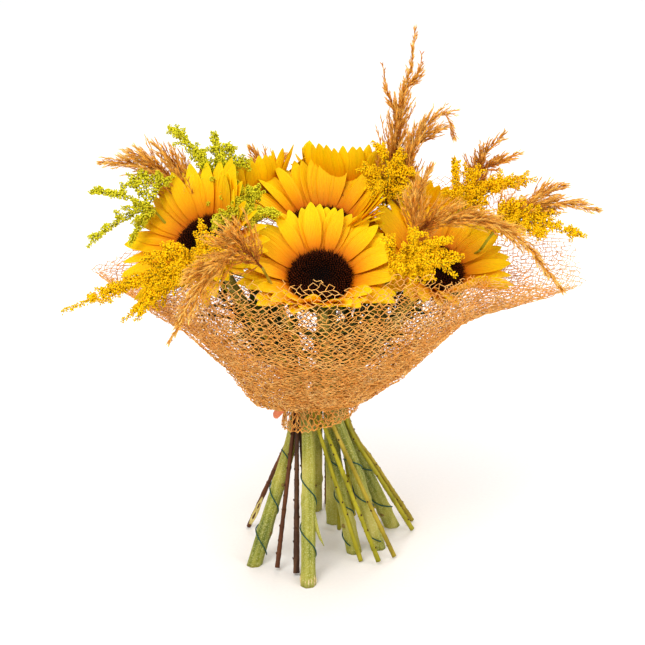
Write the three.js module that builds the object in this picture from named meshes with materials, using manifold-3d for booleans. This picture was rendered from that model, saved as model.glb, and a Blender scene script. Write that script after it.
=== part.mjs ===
// A hand-tied bunch of seven sunflowers with goldenrod and dried reed plumes. The stems cross in a
// spiral at the binding, the bunch stands on their cut ends, and a pleated net is wrapped round it.
// Millimetres, +Z up, the front of the bunch faces -Y.
import * as THREE from 'three';
import Module from 'manifold-3d';

const wasm = await Module();
wasm.setup();
const { Manifold, Mesh } = wasm;

// Driving dimensions
const LEVEL = 25;
const BINDING_Z = 160;
const SKIPPED_LEVELS = [75, 225, 275];
const STEM_SLANT = 1.16;
const STEM_GAP = 0.9;
const STEM_SEED = 5;
const SETTLING_ROUNDS = 500;
const TOP_LEVEL_HEIGHT = 370;
const THICK_FOOT = 7.6;
const THICK_NECK = 6;
const THICK_TOP = 5;
const THIN_FOOT = 2.5;
const THIN_NECK = 1.9;
const THIN_TOP = 1.3;
const HEAD_KEEP_CLEAR = 40;
const WIRED_HEIGHT = 118;
const STEM_INTO_CUP = 8;
const DISC_RADIUS = 30;
const DISC_SECTORS = 18;
const PLATE_RADIUS = 33.4;
const PLATE_TOP = -0.4;
const PLATE_BOTTOM = -3.4;
const CUP_DEPTH = 22;
const CUP_TOP = -3.7;
const BRACT_HEIGHT = -9;
const BRACTS = 8;
const BRACT_REACH = [45, 41, 37];
const PETAL_ROOT_RADIUS = 31.2;
const PETAL_THICKNESS = 1.3;
const SPIKE_THICKNESS = 5;
const SIDE_SPIKE_THICKNESS = 4.2;
const SIDE_SPIKE_SPREAD = 34;
const SPIKELET_SPACING = 9.4;
const GAP = 0.34;
const SLIVER = 0.12;
const NET_COLUMNS = 18;
const NET_THICKNESS = 1;
const NET_STRAND = 3.2;
const NET_RIM_ROWS = 3;
const NECK_ROW = 2;
const NECK_RADIUS = 34.4;
const PLEAT_DEPTH = 5;
const SKIRT_SLANT = 10.5;
const SAG_DEPTH = 10;
const SAG_BULGE = 13;
const SAG_ANGLE = -85;
const SAG_WIDTH = 48;
const RIM_BULGE = 9;
const RIBBON_BOTTOM = 170;
const RIBBON_TOP = 177;
const RIBBON_THICKNESS = 1;
const WIRE_RADIUS = 0.65;
const WIRE_STEPS_PER_TURN = 7;

const COLOURS = {
  petal: 0xf4b808,
  disc: 0x2a1208,
  stem: 0x9a9a46,
  lime: 0xb9a414,
  yellow: 0xdba303,
  thin: 0x9a9228,
  reed: 0xc77d29,
  culm: 0x6a3c1c,
  wire: 0x1f3a24,
  net: 0xda8a3c,
  ribbon: 0xe1825f,
};

// Each head: its centre, where it faces (azimuth from +X and elevation, degrees), its petals with how
// far they rise and how much more its lowest ones do, and the foot of its stem.
const HEADS = [
  { at: [0, -75, 322], azimuth: 270, elevation: 57,
    petals: 26, length: 48, cup: 24, curl: 34, foot: [60, -8], neck: 17 },
  { at: [0, 10, 347], azimuth: 270, elevation: 78,
    petals: 26, length: 57, cup: 38, foot: [35, -17], neck: 3 },
  { at: [-114, -25, 340], azimuth: 225, elevation: 50,
    petals: 23, length: 52, cup: 12, foot: [-12, -89], neck: 18 },
  { at: [112, -20, 313], azimuth: 312, elevation: 55,
    petals: 23, length: 51, cup: 18, curl: 26, foot: [76, 44], neck: 18 },
  { at: [-75, 70, 351], azimuth: 130, elevation: 65,
    petals: 16, length: 50, cup: 25, foot: [-67, -45], neck: 18 },
  { at: [106, 72, 333], azimuth: 45, elevation: 62,
    petals: 16, length: 50, cup: 22, foot: [14, 52], neck: 16 },
  { at: [28, 84, 358], azimuth: 80, elevation: 66,
    petals: 16, length: 50, cup: 30, foot: [-6, 84], neck: 18 },
];

// Each goldenrod spray: foot of the stem, its plume's stalk, and the tips of the flower spikes.
const GOLDENROD = [
  { foot: [-10, -36], neck: 10, colour: 'lime', axis: [[-97, 20, 352], [-98, 24, 378], [-96, 28, 400]],
    tips: [[-121, 25, 416], [-105, 30, 427], [-88, 35, 418], [-70, 30, 404],
      [-77, 15, 383], [-148, 35, 440]] },
  { foot: [-24, -70], neck: 24, colour: 'lime', axis: [[-150, 10, 345], [-163, 8, 362], [-174, 8, 376]],
    tips: [[-224, 0, 384], [-192, 10, 386], [-170, 15, 396], [-144, 15, 395],
      [-228, -15, 332], [-186, -18, 334]] },
  { foot: [61, -46], neck: 24, colour: 'yellow',
    axis: [[-95, -85, 320], [-114, -88, 336], [-134, -85, 340]],
    tips: [[-250, -60, 281], [-212, -66, 292], [-190, -80, 279], [-176, -92, 284], [-170, -80, 342],
      [-150, -75, 352], [-115, -97, 350], [-135, -106, 326], [-112, -72, 372], [-92, -88, 356]] },
  { foot: [42, -40], neck: 12, colour: 'lime', axis: [[-62, -28, 345], [-69, -28, 360], [-77, -25, 371]],
    tips: [[-95, 0, 383], [-58, -12, 384], [-80, -45, 379], [-104, -50, 362], [-65, -58, 364],
      [-42, -45, 372]] },
  { foot: [20, 30], neck: 9, colour: 'yellow', axis: [[60, 18, 345], [64, 24, 370], [68, 28, 392]],
    tips: [[43, 30, 404], [60, 35, 416], [80, 35, 408], [92, 25, 395], [52, 2, 374], [86, 10, 370]] },
  { foot: [36, 64], neck: 18, colour: 'yellow', axis: [[134, 28, 335], [139, 34, 355], [146, 38, 368]],
    tips: [[133, 40, 404], [156, 45, 386], [186, 50, 375], [130, 20, 372], [166, 30, 362],
      [217, 50, 381]] },
  { foot: [70, 64], neck: 25, colour: 'yellow',
    axis: [[158, -4, 325], [172, -4, 344], [200, -3, 355], [234, 0, 350]],
    tips: [[262, 0, 338], [236, 8, 358], [200, 4, 368], [220, -14, 341], [188, -16, 352]] },
  { foot: [98, 32], neck: 24, colour: 'yellow', axis: [[62, -92, 320], [74, -95, 336], [86, -96, 350]],
    tips: [[65, -100, 363], [90, -95, 370], [120, -85, 361], [136, -84, 346],
      [102, -116, 346], [76, -124, 346]] },
];

// Each reed: foot of the stem and the stalks of its plume.
const REEDS = [
  { foot: [7, 98], neck: 22,
    axis: [[66, 46, 350], [74, 58, 400], [80, 62, 450], [90, 62, 496], [93, 60, 529]],
    sides: [[[78, 60, 440], [66, 60, 470], [62, 60, 495]], [[84, 62, 470], [98, 60, 490],
      [100, 60, 506]]] },
  { foot: [38, 86], neck: 24,
    axis: [[84, 30, 350], [86, 38, 395], [98, 40, 430], [121, 40, 452], [132, 40, 430]],
    sides: [[[92, 40, 415], [110, 40, 432], [122, 42, 437]]] },
  { foot: [-44, -61], neck: 23,
    axis: [[-120, 28, 348], [-135, 30, 378], [-165, 30, 396], [-190, 30, 404], [-214, 30, 405]],
    sides: [[[-150, 30, 388], [-168, 32, 406], [-186, 32, 415]],
      [[-128, 30, 368], [-143, 33, 402], [-162, 35, 422]]] },
  { foot: [-76, 40], neck: 24, axis: [[-44, 98, 345], [-56, 100, 372], [-69, 100, 397]],
    sides: [[[-52, 99, 362], [-44, 100, 376], [-38, 100, 389]]] },
  { foot: [22, 92], neck: 24, axis: [[164, 108, 338], [160, 94, 372], [165, 83, 395], [184, 80, 418]],
    sides: [[[156, 90, 376], [176, 82, 388], [199, 80, 398]]] },
  { foot: [60, 84], neck: 25,
    axis: [[168, 16, 332], [185, 14, 354], [215, 12, 366], [250, 10, 368], [272, 10, 362]],
    sides: [[[205, 14, 364], [222, 18, 378], [240, 20, 384]]] },
  { foot: [98, 56], neck: 24,
    axis: [[85, -47, 342], [101, -56, 367], [136, -61, 376], [164, -61, 371], [188, -60, 357],
      [206, -60, 340], [222, -60, 318], [233, -60, 305]],
    sides: [[[92, -50, 355], [92, -38, 388], [106, -30, 418]]] },
  { foot: [77, -32], neck: 24,
    axis: [[-54, -112, 345], [-73, -125, 366], [-98, -138, 354], [-117, -150, 330],
      [-130, -160, 306], [-138, -164, 293]],
    sides: [[[-64, -119, 360], [-74, -118, 372], [-92, -120, 374]]] },
];

// The net's rim: angle from the front (towards +X), distance from the axis, height.
const RIM = [
  [-160, 170, 328], [-115, 196, 302], [-100, 236, 289], [-85, 190, 286], [-70, 170, 292], [-45, 163, 343],
  [-20, 158, 351], [0, 157, 348], [20, 160, 352], [45, 172, 343], [68, 178, 320], [84, 262, 297],
  [98, 256, 318], [110, 236, 330], [124, 232, 366], [136, 226, 356], [158, 182, 336], [180, 170, 330],
];
// Heights and radii of the net's rows below the rim.
const NET_ROWS = [
  [147, 38.5], [162, NECK_RADIUS], [180, NECK_RADIUS], [178, 54],
  [193, 76], [210, 96], [234, 119], [258, 142],
];

const radians = (degrees) => (degrees * Math.PI) / 180;
const vector = (p) => new THREE.Vector3(p[0], p[1], p[2]);
const mix = (a, b, t) => a + (b - a) * t;

// A repeatable random source.
function randomSource(seed) {
  let state = seed >>> 0;
  return () => {
    state = (state + 0x6d2b79f5) >>> 0;
    let t = state;
    t = Math.imul(t ^ (t >>> 15), t | 1);
    t ^= t + Math.imul(t ^ (t >>> 7), t | 61);
    return ((t ^ (t >>> 14)) >>> 0) / 4294967296;
  };
}

function solidFrom(points, faces) {
  const mesh = new Mesh({
    numProp: 3,
    vertProperties: new Float32Array(points.flatMap((p) => [p.x, p.y, p.z])),
    triVerts: new Uint32Array(faces.flat()),
  });
  return new Manifold(mesh);
}

// Skins rings of points, each ring counter-clockwise about the way it goes. An end is flat or a point.
function loft(rings, startPoint = null, endPoint = null) {
  const n = rings[0].length;
  const points = rings.flat();
  const faces = [];
  for (let k = 0; k + 1 < rings.length; k += 1) {
    for (let i = 0; i < n; i += 1) {
      const j = (i + 1) % n;
      faces.push([k * n + i, k * n + j, (k + 1) * n + j], [k * n + i, (k + 1) * n + j, (k + 1) * n + i]);
    }
  }
  const last = (rings.length - 1) * n;
  if (startPoint) points.push(startPoint);
  for (let i = 0; i < n; i += 1) {
    if (startPoint) faces.push([points.length - 1, (i + 1) % n, i]);
    else if (i > 0 && i < n - 1) faces.push([0, i + 1, i]);
  }
  if (endPoint) points.push(endPoint);
  for (let i = 0; i < n; i += 1) {
    if (endPoint) faces.push([points.length - 1, last + i, last + ((i + 1) % n)]);
    else if (i > 0 && i < n - 1) faces.push([last, last + i, last + i + 1]);
  }
  return solidFrom(points, faces);
}

// Frames that don't twist along a path.
function framesAlong(path) {
  const frames = [];
  let across = null;
  for (let i = 0; i < path.length; i += 1) {
    const before = path[Math.max(i - 1, 0)];
    const after = path[Math.min(i + 1, path.length - 1)];
    const along = after.clone().sub(before).normalize();
    if (!across) across = Math.abs(along.x) < 0.8 ? new THREE.Vector3(1, 0, 0) : new THREE.Vector3(0, 1, 0);
    across = across.clone().addScaledVector(along, -across.dot(along)).normalize();
    frames.push({ at: path[i], along, across, other: along.clone().cross(across) });
  }
  return frames;
}

function ringAt(frame, radius, sides, turn = 0) {
  const ring = [];
  for (let i = 0; i < sides; i += 1) {
    const angle = turn + (i / sides) * Math.PI * 2;
    ring.push(frame.at.clone()
      .addScaledVector(frame.across, Math.cos(angle) * radius)
      .addScaledVector(frame.other, Math.sin(angle) * radius));
  }
  return ring;
}

// Slides a ring along its stem until it lies on a level cut.
function cutLevel(ring, along, height) {
  for (const p of ring) p.addScaledVector(along, (height - p.z) / along.z);
}

// A three-sided spike from its root to a point.
function spike(root, tip) {
  const piece = loft([root], null, tip);
  return piece.volume() > 0 ? piece : loft([root.slice().reverse()], null, tip);
}

function curvePoints(controls, count) {
  return new THREE.CatmullRomCurve3(controls, false, 'centripetal').getPoints(count);
}

// Pieces already placed, so that later ones keep clear of them.
const placed = [];

function boundsNear(a, b, margin) {
  for (let i = 0; i < 3; i += 1) {
    if (a.min[i] > b.max[i] + margin || b.min[i] > a.max[i] + margin) return false;
  }
  return true;
}

function isClear(piece, owner, ownToo = false) {
  const bounds = piece.boundingBox();
  for (const other of placed) {
    const own = other.owner === owner && !(ownToo && other.loose);
    if (own || !boundsNear(bounds, other.bounds, GAP)) continue;
    if (other.piece.minGap(piece, GAP * 1.5) < GAP) return false;
  }
  return true;
}

function place(piece, owner, loose = false) {
  placed.push({ piece, owner, loose, bounds: piece.boundingBox() });
  return piece;
}

// Tries each shape in turn and keeps the first that touches nothing, nor its like on the same piece.
function placeFirstClear(shapes, owner, ownToo = false) {
  for (const shape of shapes) {
    const piece = shape();
    if (isClear(piece, owner, ownToo)) return place(piece, owner, true);
  }
  return null;
}

const group = new THREE.Group();
const pieces = new Map();

function addTo(name, colour, piece) {
  if (!piece) return;
  if (!pieces.has(name)) pieces.set(name, { colour, parts: [] });
  pieces.get(name).parts.push(piece);
}

// ---------------------------------------------------------------- stems

const headings = HEADS.map((head) => {
  const a = radians(head.azimuth);
  const e = radians(head.elevation);
  return new THREE.Vector3(Math.cos(e) * Math.cos(a), Math.cos(e) * Math.sin(a), Math.sin(e));
});

const stems = [];
HEADS.forEach((head, i) => {
  const centre = vector(head.at);
  const base = centre.clone().addScaledVector(headings[i], -CUP_DEPTH);
  const shape = { foot: head.foot, neck: head.neck, top: base, centre, heading: headings[i] };
  stems.push({ kind: 'head', index: i, ...shape });
});
GOLDENROD.forEach((spray, i) => {
  const top = vector(spray.axis[0]);
  stems.push({ kind: 'goldenrod', index: i, foot: spray.foot, neck: spray.neck, top });
});
REEDS.forEach((reed, i) => {
  stems.push({ kind: 'reed', index: i, foot: reed.foot, neck: reed.neck, top: vector(reed.axis[0]) });
});

function stemRadius(stem, z) {
  const [foot, neck, top] = stem.kind === 'head'
    ? [THICK_FOOT, THICK_NECK, THICK_TOP]
    : [THIN_FOOT, THIN_NECK, THIN_TOP];
  if (z < BINDING_Z) return mix(foot, neck, z / BINDING_Z);
  return mix(neck, top, Math.min(1, (z - BINDING_Z) / (stem.top.z - BINDING_Z)));
}

// How far from the axis the stems may reach at a level, inside the net's neck.
const ROOM = new Map([[125, 36], [150, 30], [175, 29.5], [200, 44]]);

// Spreads the stems' centres at each level until none touches another, and keeps each one smooth.
function settleStems() {
  const topLevel = Math.floor(TOP_LEVEL_HEIGHT / LEVEL);
  const random = randomSource(STEM_SEED);
  for (const stem of stems) {
    const footAngle = Math.atan2(stem.foot[1], stem.foot[0]);
    const topAngle = Math.atan2(stem.top.y, stem.top.x);
    let turn = footAngle - topAngle;
    while (turn < 0) turn += Math.PI * 2;
    while (turn > Math.PI * 2) turn -= Math.PI * 2;
    const neckAngle = topAngle + turn * 0.5 + (random() - 0.5) * 0.7;
    const neckRadius = stem.neck * (0.7 + random() * 0.5);
    const neck = [Math.cos(neckAngle) * neckRadius, Math.sin(neckAngle) * neckRadius];
    stem.levels = [];
    for (let k = 0; k <= topLevel; k += 1) {
      const z = k * LEVEL;
      let p;
      if (z <= BINDING_Z) {
        p = [mix(stem.foot[0], neck[0], z / BINDING_Z), mix(stem.foot[1], neck[1], z / BINDING_Z)];
      } else if (z <= stem.top.z) {
        const t = (z - BINDING_Z) / (stem.top.z - BINDING_Z);
        p = [mix(neck[0], stem.top.x, t), mix(neck[1], stem.top.y, t)];
      } else if (stem.kind === 'head' && z < stem.centre.z + 12) {
        const t = (z - stem.top.z) / stem.heading.z;
        p = [stem.top.x + stem.heading.x * t, stem.top.y + stem.heading.y * t];
      } else {
        break;
      }
      const isHead = stem.kind === 'head' && z > stem.top.z - 16;
      const wired = stem.kind === 'head' && z < WIRED_HEIGHT ? 2 * (WIRE_RADIUS + GAP) : 0;
      const radius = isHead ? HEAD_KEEP_CLEAR : stemRadius(stem, z) * STEM_SLANT + wired;
      stem.levels.push({ x: p[0], y: p[1], z, radius, fixed: k === 0 || isHead });
    }
  }
  for (let round = 0; round < SETTLING_ROUNDS; round += 1) {
    const share = round / SETTLING_ROUNDS;
    const ease = share < 0.7 ? 0.3 : share < 0.9 ? 0.06 : 0;
    for (let k = 0; k <= topLevel; k += 1) {
      for (let i = 0; i < stems.length; i += 1) {
        const a = stems[i].levels[k];
        if (!a) continue;
        for (let j = i + 1; j < stems.length; j += 1) {
          const b = stems[j].levels[k];
          if (!b || (a.fixed && b.fixed)) continue;
          const dx = b.x - a.x;
          const dy = b.y - a.y;
          const distance = Math.hypot(dx, dy) || 0.01;
          const lack = a.radius + b.radius + STEM_GAP - distance;
          if (lack <= 0) continue;
          const shareA = a.fixed ? 0 : b.fixed ? 1 : b.radius / (a.radius + b.radius);
          a.x -= (dx / distance) * lack * shareA;
          a.y -= (dy / distance) * lack * shareA;
          b.x += (dx / distance) * lack * (1 - shareA);
          b.y += (dy / distance) * lack * (1 - shareA);
        }
        const room = ROOM.get(a.z);
        if (room && !a.fixed) {
          const reach = Math.hypot(a.x, a.y) + a.radius;
          if (reach > room) {
            const scale = Math.max(0, room - a.radius) / Math.hypot(a.x, a.y);
            a.x *= scale;
            a.y *= scale;
          }
        }
      }
    }
    for (const stem of stems) {
      for (let k = 1; k < stem.levels.length; k += 1) {
        const here = stem.levels[k];
        if (here.fixed) continue;
        const before = stem.levels[k - 1];
        const after = stem.levels[k + 1] || stem.top;
        here.x += ((before.x + after.x) / 2 - here.x) * ease;
        here.y += ((before.y + after.y) / 2 - here.y) * ease;
      }
    }
  }
}

settleStems();

const thickFrames = new Map();

function buildStems() {
  for (const stem of stems) {
    const path = stem.levels
      .filter((p) => p.z < stem.top.z - STEM_INTO_CUP && !SKIPPED_LEVELS.includes(p.z))
      .map((p) => new THREE.Vector3(p.x, p.y, p.z));
    path.push(stem.top.clone());
    if (stem.kind === 'head') path.push(stem.top.clone().addScaledVector(stem.heading, STEM_INTO_CUP));
    // A thin stem is cut a little short of the longest.
    if (stem.kind !== 'head') path[0].lerp(path[1], 0.08 + 0.05 * (stem.index % 3));
    const frames = framesAlong(path);
    if (stem.kind === 'head') thickFrames.set(stem.index, frames);
    const sides = stem.kind === 'head' ? WIRE_STEPS_PER_TURN : 4;
    const rings = frames.map((frame) => ringAt(frame, stemRadius(stem, frame.at.z), sides));
    if (stem.kind === 'head') cutLevel(rings[0], frames[0].along, 0);
    const name = `${stem.kind === 'head' ? 'sunflower' : stem.kind}_${stem.index + 1}_stem`;
    const colour = { head: 'stem', goldenrod: 'thin', reed: 'culm' }[stem.kind];
    addTo(name, colour, place(loft(rings), name));
  }
}

buildStems();

// ---------------------------------------------------------------- net wrap

function rimAt(degrees) {
  const n = RIM.length;
  for (let i = 0; i < n; i += 1) {
    const a = RIM[i];
    const b = i + 1 < n ? RIM[i + 1] : [RIM[0][0] + 360, RIM[0][1], RIM[0][2]];
    const d = degrees < RIM[0][0] ? degrees + 360 : degrees;
    if (d >= a[0] && d <= b[0]) {
      const t = (d - a[0]) / (b[0] - a[0]);
      return [mix(a[1], b[1], t), mix(a[2], b[2], t)];
    }
  }
  return [RIM[0][1], RIM[0][2]];
}

// The net's knots, row by row; above the neck every other row is turned by half a mesh.
function netGrid() {
  const random = randomSource(11);
  const rows = [];
  const shoulder = NET_ROWS.length - 1;
  for (let k = 0; k <= shoulder + NET_RIM_ROWS; k += 1) {
    const row = [];
    const loose = k > NECK_ROW + 1 ? 1 : 0;
    const shift = k > NECK_ROW && (k - NECK_ROW) % 2 ? 0.5 : 0;
    for (let i = 0; i < NET_COLUMNS; i += 1) {
      const degrees = -180 + (360 * (i + shift + (random() - 0.5) * 0.3 * loose)) / NET_COLUMNS;
      const [rimRadius, rimZ] = rimAt(degrees > 180 ? degrees - 360 : degrees);
      const [shoulderZ, shoulderRadius] = NET_ROWS[shoulder];
      let [z, radius] = NET_ROWS[Math.min(k, shoulder)];
      if (k === 0) z += SKIRT_SLANT * Math.sin(radians(degrees));
      // The bag sags over the binding at its left, and bulges there.
      const sag = Math.exp(-(((degrees - SAG_ANGLE) / SAG_WIDTH) ** 2));
      const part = { [NECK_ROW + 1]: 1, [NECK_ROW + 2]: 0.5 }[k] || 0;
      z -= SAG_DEPTH * sag * part;
      radius += SAG_BULGE * sag * part;
      if (k > shoulder) {
        const t = (k - shoulder) / NET_RIM_ROWS;
        radius = mix(shoulderRadius, rimRadius, t) + RIM_BULGE * Math.sin(t * Math.PI);
        z = mix(shoulderZ, rimZ, t);
      }
      const pleat = Math.min(1, Math.max(0, k - NECK_ROW) / 3) * PLEAT_DEPTH;
      radius += pleat * Math.sin(radians(degrees) * 9);
      z += loose * (random() - 0.5) * 4;
      const angle = radians(degrees);
      row.push(new THREE.Vector3(Math.sin(angle) * radius, -Math.cos(angle) * radius, z));
    }
    rows.push(row);
  }
  return rows;
}

function buildNet() {
  const rows = netGrid();
  const columns = NET_COLUMNS;
  const wrap = (i) => (i + columns) % columns;
  const outward = rows.map((row) => row.map((p, i) => {
    const right = row[wrap(i + 1)].clone().sub(row[wrap(i - 1)]);
    const radial = new THREE.Vector3(p.x, p.y, 0).normalize();
    return right.cross(new THREE.Vector3(radial.x, radial.y, 1)).normalize();
  }));
  const points = [];
  const faces = [];
  const add = (p, normal, side) => {
    points.push(p.clone().addScaledVector(normal, (side * NET_THICKNESS) / 2));
    return points.length - 1;
  };
  const outer = rows.map((row, k) => row.map((p, i) => add(p, outward[k][i], 1)));
  const inner = rows.map((row, k) => row.map((p, i) => add(p, outward[k][i], -1)));
  const face = (list) => {
    for (let i = 1; i + 1 < list.length; i += 1) faces.push([list[0], list[i], list[i + 1]]);
  };
  const at = (table, [k, i]) => table[k][wrap(i)];
  // A closed patch of cloth between knots.
  const patch = (corners) => {
    face(corners.map((c) => at(outer, c)));
    face(corners.map((c) => at(inner, c)).reverse());
  };
  // A mesh of the net: strands along its sides and a hole in the middle.
  const openMesh = (corners) => {
    const centre = new THREE.Vector3();
    const normal = new THREE.Vector3();
    for (const c of corners) {
      centre.addScaledVector(at(rows, c), 1 / corners.length);
      normal.add(at(outward, c));
    }
    normal.normalize();
    const holes = corners.map((c) => {
      const p = at(rows, c);
      return p.clone().lerp(centre, Math.min(0.4, NET_STRAND / p.distanceTo(centre)));
    });
    const holeOuter = holes.map((p) => add(p, normal, 1));
    const holeInner = holes.map((p) => add(p, normal, -1));
    corners.forEach((c, s) => {
      const n = (s + 1) % corners.length;
      face([at(outer, c), at(outer, corners[n]), holeOuter[n], holeOuter[s]]);
      face([holeInner[s], holeInner[n], at(inner, corners[n]), at(inner, c)]);
      face([holeOuter[s], holeOuter[n], holeInner[n], holeInner[s]]);
    });
  };
  const edge = (a, b) => face([at(inner, a), at(inner, b), at(outer, b), at(outer, a)]);
  const top = rows.length - 1;
  for (let i = 0; i < columns; i += 1) {
    for (let k = 0; k < NECK_ROW; k += 1) patch([[k, i], [k, i + 1], [k + 1, i + 1], [k + 1, i]]);
    patch([[NECK_ROW, i], [NECK_ROW, i + 1], [NECK_ROW + 1, i]]);
    edge([0, i], [0, i + 1]);
    for (let k = NECK_ROW + 1; k < top; k += 1) {
      const turned = (k - NECK_ROW) % 2;
      const side = turned ? [[k, i - 1], [k, i]] : [[k, i], [k, i + 1]];
      openMesh([[k - 1, i], side[1], [k + 1, i], side[0]]);
      if (k === top - 1) {
        edge(side[1], [k + 1, i]);
        edge([k + 1, i], side[0]);
      }
    }
  }
  addTo('net_wrap', 'net', place(solidFrom(points, faces), 'net_wrap'));
}

buildNet();

// ---------------------------------------------------------------- ribbon

function buildRibbon() {
  const ringPoints = (radius, z) => {
    const ring = [];
    for (let i = 0; i < NET_COLUMNS; i += 1) {
      const angle = radians(-180 + (360 * i) / NET_COLUMNS);
      ring.push(new THREE.Vector3(Math.sin(angle) * radius, -Math.cos(angle) * radius, z));
    }
    return ring;
  };
  const inside = NECK_RADIUS + NET_THICKNESS / 2 + GAP + 0.1;
  const outside = inside + RIBBON_THICKNESS;
  const band = loft([ringPoints(outside, RIBBON_BOTTOM), ringPoints(outside, RIBBON_TOP)])
    .subtract(loft([ringPoints(inside, RIBBON_BOTTOM - 5), ringPoints(inside, RIBBON_TOP + 5)]));
  addTo('ribbon', 'ribbon', place(band, 'ribbon'));
  // The knot at the left front, and the tail that hangs from it.
  const knotAngle = radians(-38);
  const out = new THREE.Vector3(Math.sin(knotAngle), -Math.cos(knotAngle), 0);
  const side = new THREE.Vector3(-Math.cos(knotAngle), -Math.sin(knotAngle), 0);
  const strip = (path, halfWidth, thickness) => {
    const rings = path.map((at, i) => {
      const before = path[Math.max(i - 1, 0)];
      const after = path[Math.min(i + 1, path.length - 1)];
      const along = after.clone().sub(before).normalize();
      const across = along.clone().cross(out).normalize();
      const up = across.clone().cross(along).normalize().multiplyScalar(-1);
      return [[1, -1], [1, 1], [-1, 1], [-1, -1]].map(([w, t]) => at.clone()
        .addScaledVector(across, w * halfWidth)
        .addScaledVector(up, (t * thickness) / 2));
    });
    const piece = loft(rings);
    return piece.volume() > 0 ? piece : loft(rings.map((ring) => ring.slice().reverse()));
  };
  const middle = (RIBBON_BOTTOM + RIBBON_TOP) / 2;
  const knot = out.clone().multiplyScalar(outside + 1.6).setZ(middle);
  const from = knot.clone().addScaledVector(side, -4);
  const to = knot.clone().addScaledVector(side, 5);
  addTo('ribbon', 'ribbon', place(strip([from, to], 4, 4.4), 'ribbon'));
  const tail = [
    knot.clone().addScaledVector(side, 2),
    knot.clone().addScaledVector(side, 9).addScaledVector(out, 3).setZ(middle - 4),
    knot.clone().addScaledVector(side, 18).addScaledVector(out, 4).setZ(middle - 12),
    knot.clone().addScaledVector(side, 27).addScaledVector(out, 3).setZ(middle - 23),
  ];
  addTo('ribbon', 'ribbon', place(strip(tail, 4, RIBBON_THICKNESS), 'ribbon'));
}

buildRibbon();

// ---------------------------------------------------------------- wires

// Winds a wire round a sunflower stem, following the flats of its ribs.
function buildWire(number, headIndex, fromZ, toZ, pitch, turn) {
  const frames = thickFrames.get(headIndex);
  const stem = stems[headIndex];
  const path = [];
  const stepZ = pitch / WIRE_STEPS_PER_TURN;
  for (let step = 0; fromZ + step * stepZ <= toZ; step += 1) {
    const z = fromZ + step * stepZ;
    const k = frames.findIndex((f, i) => i + 1 < frames.length && frames[i + 1].at.z > z);
    const [a, b] = [frames[k], frames[k + 1]];
    const t = (z - a.at.z) / (b.at.z - a.at.z);
    const radius = mix(stemRadius(stem, a.at.z), stemRadius(stem, b.at.z), t) + GAP + WIRE_RADIUS + 0.7;
    const angle = ((turn - step) * Math.PI * 2) / WIRE_STEPS_PER_TURN;
    path.push(a.at.clone().lerp(b.at, t)
      .addScaledVector(a.across.clone().lerp(b.across, t), Math.cos(angle) * radius)
      .addScaledVector(a.other.clone().lerp(b.other, t), Math.sin(angle) * radius));
  }
  const name = `florist_wire_${number}`;
  addTo(name, 'wire', place(loft(framesAlong(path).map((f) => ringAt(f, WIRE_RADIUS, 3))), name));
}

buildWire(1, 4, 12, 112, 42, 0);
buildWire(2, 2, 8, 112, 46, 3);
buildWire(3, 1, 10, 108, 44, 5);
buildWire(4, 3, 9, 112, 48, 2);
buildWire(5, 0, 10, 110, 45, 6);

// ---------------------------------------------------------------- sunflower heads

function headFrame(index) {
  const heading = headings[index];
  const right = new THREE.Vector3(0, 0, 1).cross(heading).normalize();
  const up = heading.clone().cross(right);
  return { centre: vector(HEADS[index].at), heading, right, up };
}

// A point of a head from its distance out, angle round and height above the petal ring.
function headPoint(frame, radius, angle, height) {
  return frame.centre.clone()
    .addScaledVector(frame.right, Math.cos(angle) * radius)
    .addScaledVector(frame.up, Math.sin(angle) * radius)
    .addScaledVector(frame.heading, height);
}

function headRing(frame, radius, height, sides, turn = 0) {
  const ring = [];
  for (let i = 0; i < sides; i += 1) {
    ring.push(headPoint(frame, radius, turn + (i / sides) * Math.PI * 2, height));
  }
  return ring;
}

// The green cup behind the petals, with its pointed bracts drawn out of its rim.
function buildCup(index) {
  const frame = headFrame(index);
  const name = `sunflower_${index + 1}_stem`;
  const sides = BRACTS * 2;
  const bracts = [];
  for (let i = 0; i < sides; i += 1) {
    const angle = (i / sides) * Math.PI * 2;
    let reach = 29;
    if (i % 2) {
      const root = [-0.2, 0, 0.2].map((d) => headPoint(frame, 24, angle + d, d ? -8 : -14));
      const tipAt = (r) => headPoint(frame, r, angle, BRACT_HEIGHT);
      reach = BRACT_REACH.find((r) => isClear(spike(root, tipAt(r)), name)) || 31;
    }
    bracts.push(headPoint(frame, reach, angle, BRACT_HEIGHT));
  }
  const low = headRing(frame, 7, -CUP_DEPTH - 2, sides);
  const rings = [low, bracts, headRing(frame, 32, CUP_TOP, sides)];
  addTo(name, 'stem', place(loft(rings), name));
}

function buildDisc(index) {
  const frame = headFrame(index);
  const name = `sunflower_${index + 1}_disc`;
  const rings = [headRing(frame, DISC_RADIUS, PLATE_TOP + GAP, DISC_SECTORS)];
  const profile = [[DISC_RADIUS, 2.2], [24.5, 4.4], [18, 4.6], [10.5, 3.4]];
  profile.forEach(([radius, height], k) => {
    const ring = [];
    for (let i = 0; i < DISC_SECTORS; i += 1) {
      const angle = (i / DISC_SECTORS) * Math.PI * 2;
      const knob = (i + k) % 2 ? 0.9 : -0.9;
      ring.push(headPoint(frame, radius - (k ? 0 : Math.abs(knob)), angle, height + knob));
    }
    rings.push(ring);
  });
  addTo(name, 'disc', place(loft(rings, null, headPoint(frame, 0, 0, 3)), name));
}

function buildPlate(index) {
  const frame = headFrame(index);
  const name = `sunflower_${index + 1}_petals`;
  const sides = HEADS[index].petals;
  const turn = Math.PI / sides;
  const rings = [headRing(frame, PLATE_RADIUS, PLATE_BOTTOM, sides, turn),
    headRing(frame, PLATE_RADIUS, PLATE_TOP, sides, turn)];
  addTo(name, 'petal', place(loft(rings), name));
}

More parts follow.
